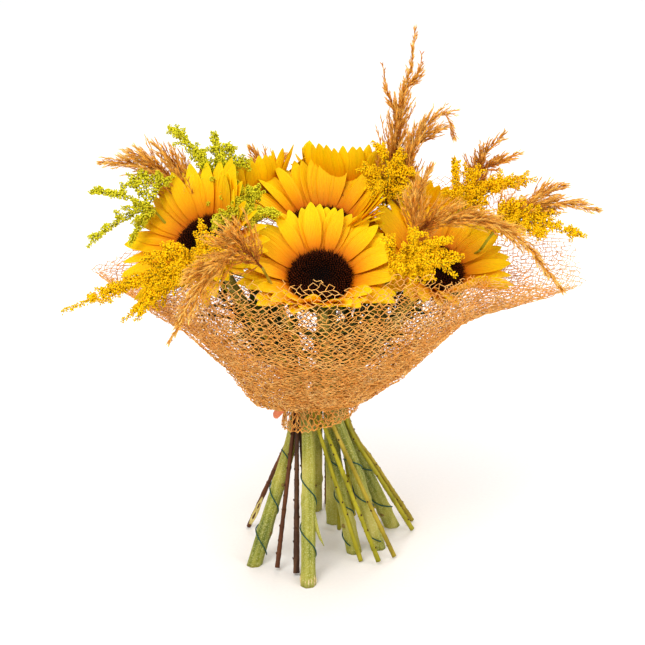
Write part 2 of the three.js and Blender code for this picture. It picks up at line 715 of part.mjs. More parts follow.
// One petal: a thin blade, widest past the middle, that rises from the ring at the cup angle.
function petalShape(frame, angle, length, width, cup, sway) {
  const out = frame.right.clone().multiplyScalar(Math.cos(angle))
    .addScaledVector(frame.up, Math.sin(angle));
  const side = frame.heading.clone().cross(out).normalize();
  const stations = [[0, 2.7, 1], [0.5, width, PETAL_THICKNESS], [0.8, width * 0.72, 1]];
  const bend = radians(cup);
  const pointAt = (s) => {
    const run = length * s;
    const rise = Math.sin(bend) * run - length * 0.1 * s * s * s;
    return headPoint(frame, PETAL_ROOT_RADIUS, angle, -2.2)
      .addScaledVector(out, Math.cos(bend) * run)
      .addScaledVector(frame.heading, rise)
      .addScaledVector(side, sway * s * s);
  };
  const rings = stations.map(([s, half, thick]) => {
    const at = pointAt(s);
    const along = pointAt(s + 0.02).sub(pointAt(Math.max(0, s - 0.02))).normalize();
    const across = side.clone().addScaledVector(along, -side.dot(along)).normalize();
    const top = along.clone().cross(across);
    return [
      at.clone().addScaledVector(across, half),
      at.clone().addScaledVector(across, -half),
      at.clone().addScaledVector(top, -thick),
    ];
  });
  return loft(rings, null, pointAt(1));
}

function buildPetals(index) {
  const head = HEADS[index];
  const frame = headFrame(index);
  const name = `sunflower_${index + 1}_petals`;
  const random = randomSource(500 + index);
  for (let i = 0; i < head.petals; i += 1) {
    const inner = i % 2;
    const angle = ((i + (random() - 0.5) * 0.3) / head.petals) * Math.PI * 2;
    const length = head.length * (inner ? 0.92 : 1.04) * (0.92 + random() * 0.16) + 3;
    const width = 7.6 + random() * 1.8;
    const curl = (head.curl || 0) * Math.max(0, -Math.sin(angle)) ** 2;
    const cup = head.cup + curl + (inner ? 9 : -3) + (random() - 0.5) * 8;
    const sway = (random() - 0.5) * 8;
    const shapes = [];
    for (const [more, shorter] of [[0, 1], [10, 1], [-9, 1], [20, 1], [32, 1], [44, 0.96], [20, 0.8],
      [44, 0.8], [56, 0.85], [0, 0.72], [30, 0.62], [60, 0.6]]) {
      shapes.push(() => petalShape(frame, angle, length * shorter, width, cup + more, sway));
    }
    addTo(name, 'petal', placeFirstClear(shapes, name, true));
  }
}

HEADS.forEach((head, i) => {
  buildCup(i);
  buildDisc(i);
  buildPlate(i);
});

// ---------------------------------------------------------------- plumes

// The point and the direction at a share of the way along a path of straight steps.
function alongPath(path, share) {
  const place = Math.min(0.9999, Math.max(0, share)) * (path.length - 1);
  const k = Math.floor(place);
  return {
    at: path[k].clone().lerp(path[k + 1], place - k),
    along: path[k + 1].clone().sub(path[k]).normalize(),
  };
}

// A thin stalk through points; the plume's own node starts just past the end of its stem.
function stalk(path, startRadius, endRadius, sides) {
  const count = path.length - 1;
  const rings = framesAlong(path).map((frame, i) => ringAt(
    frame, mix(startRadius, endRadius, i / count), sides));
  return loft(rings);
}

function plumePath(axis) {
  const controls = axis.map(vector);
  const along = controls[1].clone().sub(controls[0]).normalize();
  controls[0].addScaledVector(along, 1.2);
  return curvePoints(controls, axis.length * 2);
}

// A side stalk starts on the nearest point of its reed's main stalk.
function sidePath(reed, side) {
  const controls = side.map(vector);
  const main = plumePath(reed.axis);
  main.sort((p, q) => p.distanceTo(controls[0]) - q.distanceTo(controls[0]));
  controls[0] = main[0];
  return curvePoints(controls, 5);
}

GOLDENROD.forEach((spray, i) => {
  const name = `goldenrod_${i + 1}_plume`;
  addTo(name, spray.colour, place(stalk(plumePath(spray.axis), 2, 1.4, 4), name));
});
REEDS.forEach((reed, i) => {
  const name = `reed_${i + 1}_plume`;
  addTo(name, 'reed', place(stalk(plumePath(reed.axis), 1.7, 0.9, 3), name));
  for (const side of reed.sides) {
    addTo(name, 'reed', place(stalk(sidePath(reed, side), 1.3, 0.9, 3), name));
  }
});

// A spike of tiny flowers: a knobbly tapering rope from the stalk out to its tip.
function flowerSpike(from, to, arch, thick, random) {
  const middle = from.clone().lerp(to, 0.5);
  middle.z += arch;
  const path = curvePoints([from, middle, to], 6);
  const frames = framesAlong(path);
  const rings = frames.slice(0, -1).map((frame, k) => {
    const s = k / (frames.length - 1);
    if (k === 0) return ringAt(frame, 0.8, 4);
    const size = thick * (1.1 - 0.7 * s);
    const ring = ringAt(frame, 1, 4, k * 0.4);
    return ring.map((p, side) => {
      const knob = (side + k) % 2 ? 1.35 : 0.62;
      return frame.at.clone().lerp(p, size * knob * (0.9 + random() * 0.2));
    });
  });
  return loft(rings, null, path[path.length - 1]);
}

GOLDENROD.forEach((spray, i) => {
  const name = `goldenrod_${i + 1}_plume`;
  const random = randomSource(900 + i);
  const path = plumePath(spray.axis);
  const count = spray.tips.length;
  spray.tips.forEach((tip, k) => {
    const to = vector(tip);
    const shapes = [];
    for (const start of [0, 0.15, -0.15, -0.3]) {
      for (const arch of [7, 13, 2, -5]) {
        for (const shorter of [1, 0.75]) {
          shapes.push(() => {
            const t = mix(0.35, 0.97, ((k * 5) % count) / (count - 1)) + start;
            const from = alongPath(path, Math.min(0.98, Math.max(0.2, t))).at;
            const end = from.clone().lerp(to, shorter);
            return flowerSpike(from, end, arch, SPIKE_THICKNESS, random);
          });
        }
      }
    }
    addTo(name, spray.colour, placeFirstClear(shapes, name, true));
  });
  // Shorter spikes fill the spray between its long ones.
  spray.tips.forEach((tip, k) => {
    const next = vector(spray.tips[(k + 1) % count]);
    const shapes = [];
    for (let attempt = 0; attempt < 8; attempt += 1) {
      shapes.push(() => {
        const from = alongPath(path, mix(0.3, 0.98, random())).at;
        const away = new THREE.Vector3(random() - 0.5, random() - 0.5, random() - 0.3);
        const end = vector(tip).lerp(next, 0.5).lerp(from, 0.45).addScaledVector(away, SIDE_SPIKE_SPREAD);
        return flowerSpike(from, end, 4, SIDE_SPIKE_THICKNESS, random);
      });
    }
    addTo(name, spray.colour, placeFirstClear(shapes, name, true));
  });
});

HEADS.forEach((head, i) => buildPetals(i));

// A reed's spikelet: a slim three-sided spindle that leans forward from its stalk.
function spikelet(at, along, around, length, thick, lean) {
  const direction = along.clone().multiplyScalar(Math.cos(lean)).addScaledVector(around, Math.sin(lean));
  const root = at.clone().addScaledVector(direction, -0.3);
  const end = at.clone().addScaledVector(direction, length);
  const middle = at.clone().addScaledVector(direction, length * 0.45);
  const frame = framesAlong([root, middle, end])[1];
  return loft([ringAt(frame, thick, 3)], root, end);
}

REEDS.forEach((reed, i) => {
  const name = `reed_${i + 1}_plume`;
  const random = randomSource(1300 + i);
  const stalks = [plumePath(reed.axis), ...reed.sides.map((side) => sidePath(reed, side))];
  stalks.forEach((path, s) => {
    const count = Math.round(new THREE.CatmullRomCurve3(path).getLength() / SPIKELET_SPACING);
    for (let k = 0; k < count; k += 1) {
      const t = mix(s ? 0.1 : 0.22, 0.98, (k + 0.5) / count);
      const { at, along } = alongPath(path, t);
      const frame = framesAlong([at, at.clone().add(along)])[0];
      const length = (s ? 18 : 25) * (0.75 + random() * 0.5) * (1.3 - 0.75 * t);
      const turn = k * 2.4 + random();
      const shapes = [0, 1, 2, 3, 4].map((attempt) => () => {
        const angle = turn + attempt * 1.3;
        const around = frame.across.clone().multiplyScalar(Math.cos(angle))
          .addScaledVector(frame.other, Math.sin(angle));
        return spikelet(at, along, around, length * (1 - attempt * 0.1), 1.7, 0.5 - attempt * 0.05);
      });
      addTo(name, 'reed', placeFirstClear(shapes, name, true));
    }
  });
});

// ---------------------------------------------------------------- the finished group

// The middle of the whole bunch's footprint becomes the origin.
const whole = new THREE.Box3();
for (const { piece } of placed) {
  const bounds = piece.boundingBox();
  whole.expandByPoint(vector(bounds.min));
  whole.expandByPoint(vector(bounds.max));
}
const shift = [-(whole.min.x + whole.max.x) / 2, -(whole.min.y + whole.max.y) / 2, -whole.min.z];

for (const [name, { colour, parts }] of pieces) {
  let body = parts.length > 1 ? Manifold.union(parts) : parts[0];
  body = body.decompose().sort((a, b) => b.volume() - a.volume())[0].simplify(SLIVER).translate(shift);
  const mesh = body.getMesh();
  const geometry = new THREE.BufferGeometry();
  geometry.setAttribute('position', new THREE.BufferAttribute(new Float32Array(mesh.vertProperties), 3));
  geometry.setIndex(new THREE.BufferAttribute(new Uint32Array(mesh.triVerts), 1));
  geometry.computeVertexNormals();
  const material = new THREE.MeshStandardMaterial({ color: COLOURS[colour], roughness: 0.7 });
  const object = new THREE.Mesh(geometry, material);
  object.name = name;
  group.add(object);
}

export default group;
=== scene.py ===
import math

import bpy
import numpy as np
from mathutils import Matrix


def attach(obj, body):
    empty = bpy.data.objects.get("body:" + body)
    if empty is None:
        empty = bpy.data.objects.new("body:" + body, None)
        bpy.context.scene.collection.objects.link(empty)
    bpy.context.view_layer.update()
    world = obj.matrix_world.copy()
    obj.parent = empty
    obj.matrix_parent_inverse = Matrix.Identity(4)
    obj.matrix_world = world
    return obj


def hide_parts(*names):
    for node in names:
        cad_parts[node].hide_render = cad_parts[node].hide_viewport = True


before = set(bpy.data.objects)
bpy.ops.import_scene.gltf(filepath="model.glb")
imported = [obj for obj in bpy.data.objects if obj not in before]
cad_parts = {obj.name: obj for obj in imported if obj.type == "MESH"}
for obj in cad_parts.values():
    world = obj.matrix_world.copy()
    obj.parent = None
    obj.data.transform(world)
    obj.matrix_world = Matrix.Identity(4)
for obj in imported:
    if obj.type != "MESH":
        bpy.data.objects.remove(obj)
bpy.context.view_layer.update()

# ------------------------------------------------------------------ the bunch's own plan, millimetres
# Distances are from the bunch's axis, with the front towards -Y, as on the solids.
BINDING_Z = 160
NECK_RADIUS = 34.4
RIBBON_BOTTOM, RIBBON_TOP = 170, 177
PETAL_ROOT_RADIUS, PETAL_ROOT_HEIGHT = 31.2, -2.2
# Sunflower stalks: radius at the foot and at the binding, sides and ribs, and the step along them.
FOOT_RADIUS, TIED_RADIUS = 7.6, 6
STALK_SIDES, STALK_RIBS, STALK_STEP = 42, 7, 4
# Where the swellings of the left and right stalks are, in steps from the foot.
SCARS = {4: (9, 22), 3: (6, 24)}
# The front stalk's bark has peeled off, and one reed's stalk has split open, at the foot.
PEELED_STALK, SPLIT_REED = 2, 3
# Leaves are left on the stalks between these heights.
LEAVES_FROM, LEAVES_TO = 196, 296

# Each head: its centre, azimuth and elevation of its face.
HEADS = [
    ((0, -75, 322), 270, 57),
    ((0, 10, 347), 270, 78),
    ((-114, -25, 340), 225, 50),
    ((112, -20, 313), 312, 55),
    ((-75, 70, 351), 130, 65),
    ((106, 72, 333), 45, 62),
    ((28, 84, 358), 80, 66),
]

# Each goldenrod spray: colour, the stalk of its plume and the tips of its flower spikes.
GOLDENROD = [
    ("lime", [(-97, 20, 352), (-98, 24, 378), (-96, 28, 400)],
     [(-121, 25, 416), (-105, 30, 427), (-88, 35, 418), (-70, 30, 404), (-77, 15, 383), (-148, 35, 440)]),
    ("lime", [(-150, 10, 345), (-163, 8, 362), (-174, 8, 376)],
     [(-224, 0, 384), (-192, 10, 386), (-170, 15, 396), (-144, 15, 395), (-228, -15, 332), (-186, -18, 334)]),
    ("yellow", [(-95, -85, 320), (-114, -88, 336), (-134, -85, 340)],
     [(-250, -60, 281), (-212, -66, 292), (-190, -80, 279), (-176, -92, 284), (-170, -80, 342),
      (-150, -75, 352), (-115, -97, 350), (-135, -106, 326), (-112, -72, 372), (-92, -88, 356)]),
    ("lime", [(-62, -28, 345), (-69, -28, 360), (-77, -25, 371)],
     [(-95, 0, 383), (-58, -12, 384), (-80, -45, 379), (-104, -50, 362), (-65, -58, 364), (-42, -45, 372)]),
    ("yellow", [(60, 18, 345), (64, 24, 370), (68, 28, 392)],
     [(43, 30, 404), (60, 35, 416), (80, 35, 408), (92, 25, 395), (52, 2, 374), (86, 10, 370)]),
    ("yellow", [(134, 28, 335), (139, 34, 355), (146, 38, 368)],
     [(133, 40, 404), (156, 45, 386), (186, 50, 375), (130, 20, 372), (166, 30, 362), (217, 50, 381)]),
    ("yellow", [(158, -4, 325), (172, -4, 344), (200, -3, 355), (234, 0, 350)],
     [(262, 0, 338), (236, 8, 358), (200, 4, 368), (220, -14, 341), (188, -16, 352)]),
    ("yellow", [(62, -92, 320), (74, -95, 336), (86, -96, 350)],
     [(65, -100, 363), (90, -95, 370), (120, -85, 361), (136, -84, 346), (102, -116, 346), (76, -124, 346)]),
]

# Each reed: the stalk of its plume, and its side stalks.
REEDS = [
    ([(66, 46, 350), (74, 58, 400), (80, 62, 450), (90, 62, 496), (93, 60, 529)],
     [[(78, 60, 440), (66, 60, 470), (62, 60, 495)], [(84, 62, 470), (98, 60, 490), (100, 60, 506)]]),
    ([(84, 30, 350), (86, 38, 395), (98, 40, 430), (121, 40, 452), (132, 40, 430)],
     [[(92, 40, 415), (110, 40, 432), (122, 42, 437)]]),
    ([(-120, 28, 348), (-135, 30, 378), (-165, 30, 396), (-190, 30, 404), (-214, 30, 405)],
     [[(-150, 30, 388), (-168, 32, 406), (-186, 32, 415)], [(-128, 30, 368), (-143, 33, 402), (-162, 35, 422)]]),
    ([(-44, 98, 345), (-56, 100, 372), (-69, 100, 397)],
     [[(-52, 99, 362), (-44, 100, 376), (-38, 100, 389)]]),
    ([(164, 108, 338), (160, 94, 372), (165, 83, 395), (184, 80, 418)],
     [[(156, 90, 376), (176, 82, 388), (199, 80, 398)]]),
    ([(168, 16, 332), (185, 14, 354), (215, 12, 366), (250, 10, 368), (272, 10, 362)],
     [[(205, 14, 364), (222, 18, 378), (240, 20, 384)]]),
    ([(85, -47, 342), (101, -56, 367), (136, -61, 376), (164, -61, 371), (188, -60, 357), (206, -60, 340),
      (222, -60, 318), (233, -60, 305)],
     [[(92, -50, 355), (92, -38, 388), (106, -30, 418)]]),
    ([(-54, -112, 345), (-73, -125, 366), (-98, -138, 354), (-117, -150, 330), (-130, -160, 306),
      (-138, -164, 293)],
     [[(-64, -119, 360), (-74, -118, 372), (-92, -120, 374)]]),
]

# The net's rim: angle from the front towards +X, distance from the axis, height.
RIM = [
    (-160, 170, 328), (-115, 196, 302), (-100, 236, 289), (-85, 190, 286), (-70, 170, 292), (-45, 163, 343),
    (-20, 158, 351), (0, 157, 348), (20, 160, 352), (45, 172, 343), (68, 178, 320), (84, 262, 297),
    (98, 256, 318), (110, 236, 330), (124, 232, 366), (136, 226, 356), (158, 182, 336), (180, 170, 330),
]
# Its rows up to where it turns out to the rim: height and distance from the axis.
NET_ROWS = [(147, 38.5), (162, NECK_RADIUS), (180, NECK_RADIUS), (178, 54), (193, 76), (210, 96),
            (234, 119), (258, 142)]
TURN_ROW, RIM_ROW = 7, 10
RIM_BULGE = 9
SKIRT_SLANT = 10.5
BAG_DROP = 4
SAG_DEPTH, SAG_BULGE, SAG_ANGLE, SAG_WIDTH = 10, 13, -85, 48
# Pleats and folds round the net: how many, how deep, and how fast they shift from layer to layer.
PLEATS = [(9, 3.4, 1), (23, 2.2, 2), (41, 1.4, 3)]

# Wires: number, sunflower, lower and upper end, rise of a turn, where it starts in sevenths of a turn.
WIRES = [(1, 5, 12, 112, 42, 0), (2, 3, 8, 112, 46, 3), (3, 2, 10, 108, 44, 5), (4, 4, 9, 112, 48, 2),
         (5, 1, 10, 110, 45, 6)]

# ------------------------------------------------------------------ geometry helpers


def node_points(name):
    """World positions of a CAD node's vertices in metres, and its edges."""
    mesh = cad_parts[name].data
    points = np.empty(len(mesh.vertices) * 3)
    mesh.vertices.foreach_get("co", points)
    edges = np.empty(len(mesh.edges) * 2, dtype=np.int64)
    mesh.edges.foreach_get("vertices", edges)
    # Points that share a place count as one.
    points = points.reshape(-1, 3)
    _, first, joined = np.unique(np.round(points, 5), axis=0, return_index=True, return_inverse=True)
    return points[first], joined.ravel()[edges].reshape(-1, 2)


def find_axis():
    """The middle of the net's neck ring, where the solids' own plan has its zero."""
    points, _ = node_points("net_wrap")
    low = NET_ROWS[1][0] / 1000
    ring = points[np.abs(points[:, 2] - low) < 0.0015]
    middle = (ring.min(axis=0) + ring.max(axis=0)) / 2
    return np.array([middle[0], middle[1], 0.0])


AXIS = find_axis()


def unit(v):
    v = np.asarray(v, dtype=float)
    return v / np.maximum(np.linalg.norm(v, axis=-1, keepdims=True), 1e-12)


def smooth_path(controls, count):
    """Points on a centripetal curve through the controls, count steps from end to end."""
    p = np.asarray(controls, dtype=float)
    p = np.vstack([2 * p[0] - p[1], p, 2 * p[-1] - p[-2]])
    out = []
    for u in np.linspace(0, 1, count + 1) * (len(p) - 3):
        k = min(int(u), len(p) - 4)
        a, b, c, d = p[k:k + 4]
        t0 = 0.0
        t1 = t0 + max(np.linalg.norm(b - a), 1e-9) ** 0.5
        t2 = t1 + max(np.linalg.norm(c - b), 1e-9) ** 0.5
        t3 = t2 + max(np.linalg.norm(d - c), 1e-9) ** 0.5
        t = t1 + (t2 - t1) * (u - k)
        ab = (t1 - t) / (t1 - t0) * a + (t - t0) / (t1 - t0) * b
        bc = (t2 - t) / (t2 - t1) * b + (t - t1) / (t2 - t1) * c
        cd = (t3 - t) / (t3 - t2) * c + (t - t2) / (t3 - t2) * d
        abc = (t2 - t) / (t2 - t0) * ab + (t - t0) / (t2 - t0) * bc
        bcd = (t3 - t) / (t3 - t1) * bc + (t - t1) / (t3 - t1) * cd
        out.append((t2 - t) / (t2 - t1) * abc + (t - t1) / (t2 - t1) * bcd)
    return np.array(out)


def even_path(path, step):
    """The same line with points an even step apart."""
    path = np.asarray(path, dtype=float)
    lengths = np.concatenate([[0], np.cumsum(np.linalg.norm(np.diff(path, axis=0), axis=1))])
    count = max(2, int(round(lengths[-1] / step)))
    at = np.linspace(0, lengths[-1], count + 1)
    return np.stack([np.interp(at, lengths, path[:, k]) for k in range(3)], axis=1)


def frames_along(path):
    """Direction and two crosswise directions at each point, without twist."""
    path = np.asarray(path, dtype=float)
    along = np.empty_like(path)
    along[1:-1] = path[2:] - path[:-2]
    along[0] = path[1] - path[0]
    along[-1] = path[-1] - path[-2]
    along = unit(along)
    across = np.empty_like(path)
    current = np.array([1.0, 0, 0]) if abs(along[0, 0]) < 0.8 else np.array([0, 1.0, 0])
    for i, d in enumerate(along):
        current = unit(current - d * current.dot(d))
        across[i] = current
    return along, across, np.cross(along, across)


def crosswise(directions, rng):
    """Two directions square to each given one, with a random roll."""
    d = unit(directions)
    helper = np.where(np.abs(d[:, 2:3]) < 0.8, np.array([[0.0, 0, 1]]), np.array([[1.0, 0, 0]]))
    x = unit(np.cross(d, helper))
    y = np.cross(d, x)
    roll = rng.uniform(0, 2 * math.pi, len(d))[:, None]
    return x * np.cos(roll) + y * np.sin(roll), -x * np.sin(roll) + y * np.cos(roll)

def around(x, y, angle):
    """The direction at an angle round a line, from the line's two crosswise ones."""
    return x * np.cos(angle) + y * np.sin(angle)


def ring_quads(rows, sides, loops=False):
    """Faces from each ring of points to the next, and from the last to the first if they loop."""
    i = np.arange(sides)
    j = (i + 1) % sides
    low = (np.arange(rows if loops else rows - 1) * sides)[:, None]
    high = (low + sides) % (rows * sides)
    return np.stack([low + i, low + j, high + j, high + i], axis=2).reshape(-1, 4)


def ring_caps(rows, sides):
    """Fans over the first and the last ring, each on a middle point; both of these follow the rings."""
    i = np.arange(sides)
    j = (i + 1) % sides
    last = (rows - 1) * sides
    return np.concatenate([np.stack([np.full(sides, rows * sides), j, i], axis=1),
                           np.stack([np.full(sides, rows * sides + 1), last + i, last + j], axis=1)])


def sheet_faces(rows, columns):
    """Faces of a thin closed sheet, whose upper points come row by row and then the lower ones."""
    below = rows * columns
    k = np.arange(rows - 1)[:, None] * columns
    i = np.arange(columns - 1)[None]
    top = np.stack([k + i + 1, k + columns + i + 1, k + columns + i, k + i], axis=2).reshape(-1, 4)
    left = k.ravel()
    right = left + columns - 1
    first = i.ravel()
    last = (rows - 1) * columns + first
    walls = np.concatenate([
        np.stack([left, left + columns, left + columns + below, left + below], axis=1),
        np.stack([right + below, right + columns + below, right + columns, right], axis=1),
        np.stack([first + 1, first, first + below, first + 1 + below], axis=1),
        np.stack([last, last + 1, last + 1 + below, last + below], axis=1),
    ])
    return [top, top[:, ::-1] + below, walls]

class Builder:
    """Gathers closed shapes for one mesh; each point carries three numbers that the materials read."""

    def __init__(self):
        self.points = []
        self.faces = []
        self.marks = []
        self.kinds = []
        self.count = 0

    def add(self, points, faces, along=0.0, across=0.0, tint=0.5, kind=0):
        points = np.asarray(points, dtype=float).reshape(-1, 3)
        n = len(points)
        marks = np.empty((n, 3))
        marks[:, 0] = along
        marks[:, 1] = across
        marks[:, 2] = tint
        self.points.append(points)
        self.marks.append(marks)
        for block in faces:
            block = np.asarray(block, dtype=np.int64)
            self.faces.append(block + self.count)
            self.kinds.append(np.full(len(block), kind, dtype=np.int32))
        self.count += n

    def copies(self, base, faces, at, x, y, z, along=0.0, tint=0.5):
        """Puts a copy of a small shape at each place, on three scaled directions."""
        base = np.asarray(base, dtype=float)
        n, m = len(at), len(base)
        if n == 0:
            return
        points = (at[:, None, :] + base[None, :, 0:1] * x[:, None, :] + base[None, :, 1:2] * y[:, None, :]
                  + base[None, :, 2:3] * z[:, None, :])
        offsets = (np.arange(n) * m)[:, None, None]
        blocks = [(np.asarray(f)[None] + offsets).reshape(-1, np.asarray(f).shape[1]) for f in faces]
        lengthwise = np.broadcast_to(base[None, :, 2], (n, m)).ravel()
        self.add(points, blocks, along=np.repeat(np.broadcast_to(along, n), m), across=lengthwise,
                 tint=np.repeat(np.broadcast_to(tint, n), m))

    def tube(self, path, radii, sides, tint=0.5, kind=0, ribs=0, rib_depth=0.0, round_ends=False):
        """A closed tube along a path, its section ribbed if asked."""
        path = np.asarray(path, dtype=float)
        n = len(path)
        radii = np.broadcast_to(np.asarray(radii, dtype=float), n)
        _, x, y = frames_along(path)
        angle = np.linspace(0, math.tau, sides, endpoint=False)
        swell = 1 + rib_depth * np.cos(angle * ribs)
        ring = ((np.cos(angle) * swell)[None, :, None] * x[:, None]
                + (np.sin(angle) * swell)[None, :, None] * y[:, None])
        points = path[:, None] + ring * radii[:, None, None]
        ends = np.array([path[0], path[-1]])
        if round_ends:
            ends[0] += unit(path[0] - path[1]) * radii[0] * 0.5
            ends[1] += unit(path[-1] - path[-2]) * radii[-1] * 0.5
        share = np.concatenate([np.repeat(np.linspace(0, 1, n), sides), [0, 1]])
        round_share = np.concatenate([np.tile(angle / math.tau, n), [0, 0]])
        self.add(np.vstack([points.reshape(-1, 3), ends]), [ring_quads(n, sides), ring_caps(n, sides)],
                 along=share, across=round_share, tint=tint, kind=kind)

    def used(self):
        """The numbers of the materials in use."""
        return {int(k) for block in self.kinds for k in np.unique(block)}

    def finish(self, name, materials, smooth=True):
        """Makes the mesh object, in metres round the bunch's axis."""
        points = np.vstack(self.points) * 0.001 + AXIS
        marks = np.vstack(self.marks)
        mesh = bpy.data.meshes.new(name)
        mesh.vertices.add(len(points))
        mesh.vertices.foreach_set("co", points.astype(np.float32).ravel())
        sizes = np.concatenate([np.full(len(f), f.shape[1]) for f in self.faces])
        loops = np.concatenate([f.ravel() for f in self.faces])
        mesh.loops.add(len(loops))
        mesh.loops.foreach_set("vertex_index", loops.astype(np.int32))
        mesh.polygons.add(len(sizes))
        mesh.polygons.foreach_set("loop_start", np.concatenate([[0], np.cumsum(sizes)[:-1]]).astype(np.int32))
        mesh.polygons.foreach_set("material_index", np.concatenate(self.kinds))
        mesh.update(calc_edges=True)
        for k, label in enumerate(("along", "across", "tint")):
            layer = mesh.attributes.new(label, "FLOAT", "POINT")
            layer.data.foreach_set("value", marks[:, k].astype(np.float32))
        mesh.validate()
        if smooth:
            mesh.shade_smooth()
        for material in materials:
            mesh.materials.append(material)
        obj = bpy.data.objects.new(name, mesh)
        bpy.context.scene.collection.objects.link(obj)
        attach(obj, "root")
        return obj


# ------------------------------------------------------------------ the net's surface

RIM_ANGLES = np.array([row[0] for row in RIM] + [RIM[0][0] + 360], dtype=float)
RIM_RADII = np.array([row[1] for row in RIM] + [RIM[0][1]], dtype=float)
RIM_HEIGHTS = np.array([row[2] for row in RIM] + [RIM[0][2]], dtype=float)


def rim_at(degrees):
    """The rim's distance from the axis and its height, at an angle from the front."""
    d = np.where(degrees < RIM_ANGLES[0], degrees + 360, degrees)
    d = np.where(d > RIM_ANGLES[-1], d - 360, d)
    return np.interp(d, RIM_ANGLES, RIM_RADII), np.interp(d, RIM_ANGLES, RIM_HEIGHTS)


def net_surface(degrees, row, inset, phase):
    """Points of the net at an angle from the front and a row, 0 at the skirt and RIM_ROW at the rim."""
    degrees = (degrees + 180) % 360 - 180
    angle = np.radians(degrees)
    rim_radius, rim_height = rim_at(degrees)
    rows = np.arange(len(NET_ROWS))
    height = np.interp(row, rows, [r[0] for r in NET_ROWS])
    radius = np.interp(row, rows, [r[1] for r in NET_ROWS])
    last_height, last_radius = NET_ROWS[-1]
    t = np.clip((row - TURN_ROW) / (RIM_ROW - TURN_ROW), 0, None)
    over = row > TURN_ROW
    bulge = RIM_BULGE * np.sin(np.clip(t, 0, 1) * math.pi)
    radius = np.where(over, last_radius + (rim_radius - last_radius) * t + bulge, radius)
    height = np.where(over, last_height + (rim_height - last_height) * t, height)
    # The skirt is cut slantwise, and the bag hangs over the binding, most at its left.
    skirt = np.clip(1 - row, 0, 1)
    height = height + SKIRT_SLANT * np.sin(angle) * skirt
    sag = np.exp(-((degrees - SAG_ANGLE) / SAG_WIDTH) ** 2) * np.interp(row, [2, 3, 4, 5], [0, 1, 0.5, 0])
    height = height - SAG_DEPTH * sag - BAG_DROP * np.interp(row, [2, 3, 4], [0, 1, 0])
    radius = radius + SAG_BULGE * sag
    # Pleats run up from the binding and fade towards the rim.
    pleat = np.clip((row - 2) / 3, 0, 1)
    fade = np.clip((RIM_ROW + 0.5 - row) / 5, 0.25, 1)
    folds = sum(depth * np.sin(angle * count + shift * phase) for count, depth, shift in PLEATS)
    radius = radius + pleat * fade * (folds - 1.5)
    gather = np.clip(2.6 - row, 0, 1)
    radius = radius + gather * 0.9 * np.sin(angle * 37 + phase)
    radius = radius - inset * (0.25 + 0.75 * pleat)
    return np.stack([np.sin(angle) * radius, -np.cos(angle) * radius, height], axis=-1)


def past_net(point, room):
    """Whether a point below the rim is outside the net, or nearer to it than some room."""
    degrees = math.degrees(math.atan2(point[0], -point[1]))
    wall = net_surface(np.full(60, degrees), np.linspace(4, RIM_ROW, 60), 0, 0)
    wall_radius = np.interp(point[2], wall[:, 2], np.hypot(wall[:, 0], wall[:, 1]))
    return point[2] < wall[-1, 2] and math.hypot(point[0], point[1]) > wall_radius - room


# ------------------------------------------------------------------ materials


def linear(red, green, blue):
    """A colour from its 0-255 display numbers."""
    out = []
    for c in (red, green, blue):
        c /= 255
        out.append(c / 12.92 if c <= 0.04045 else ((c + 0.055) / 1.055) ** 2.4)
    return (*out, 1.0)


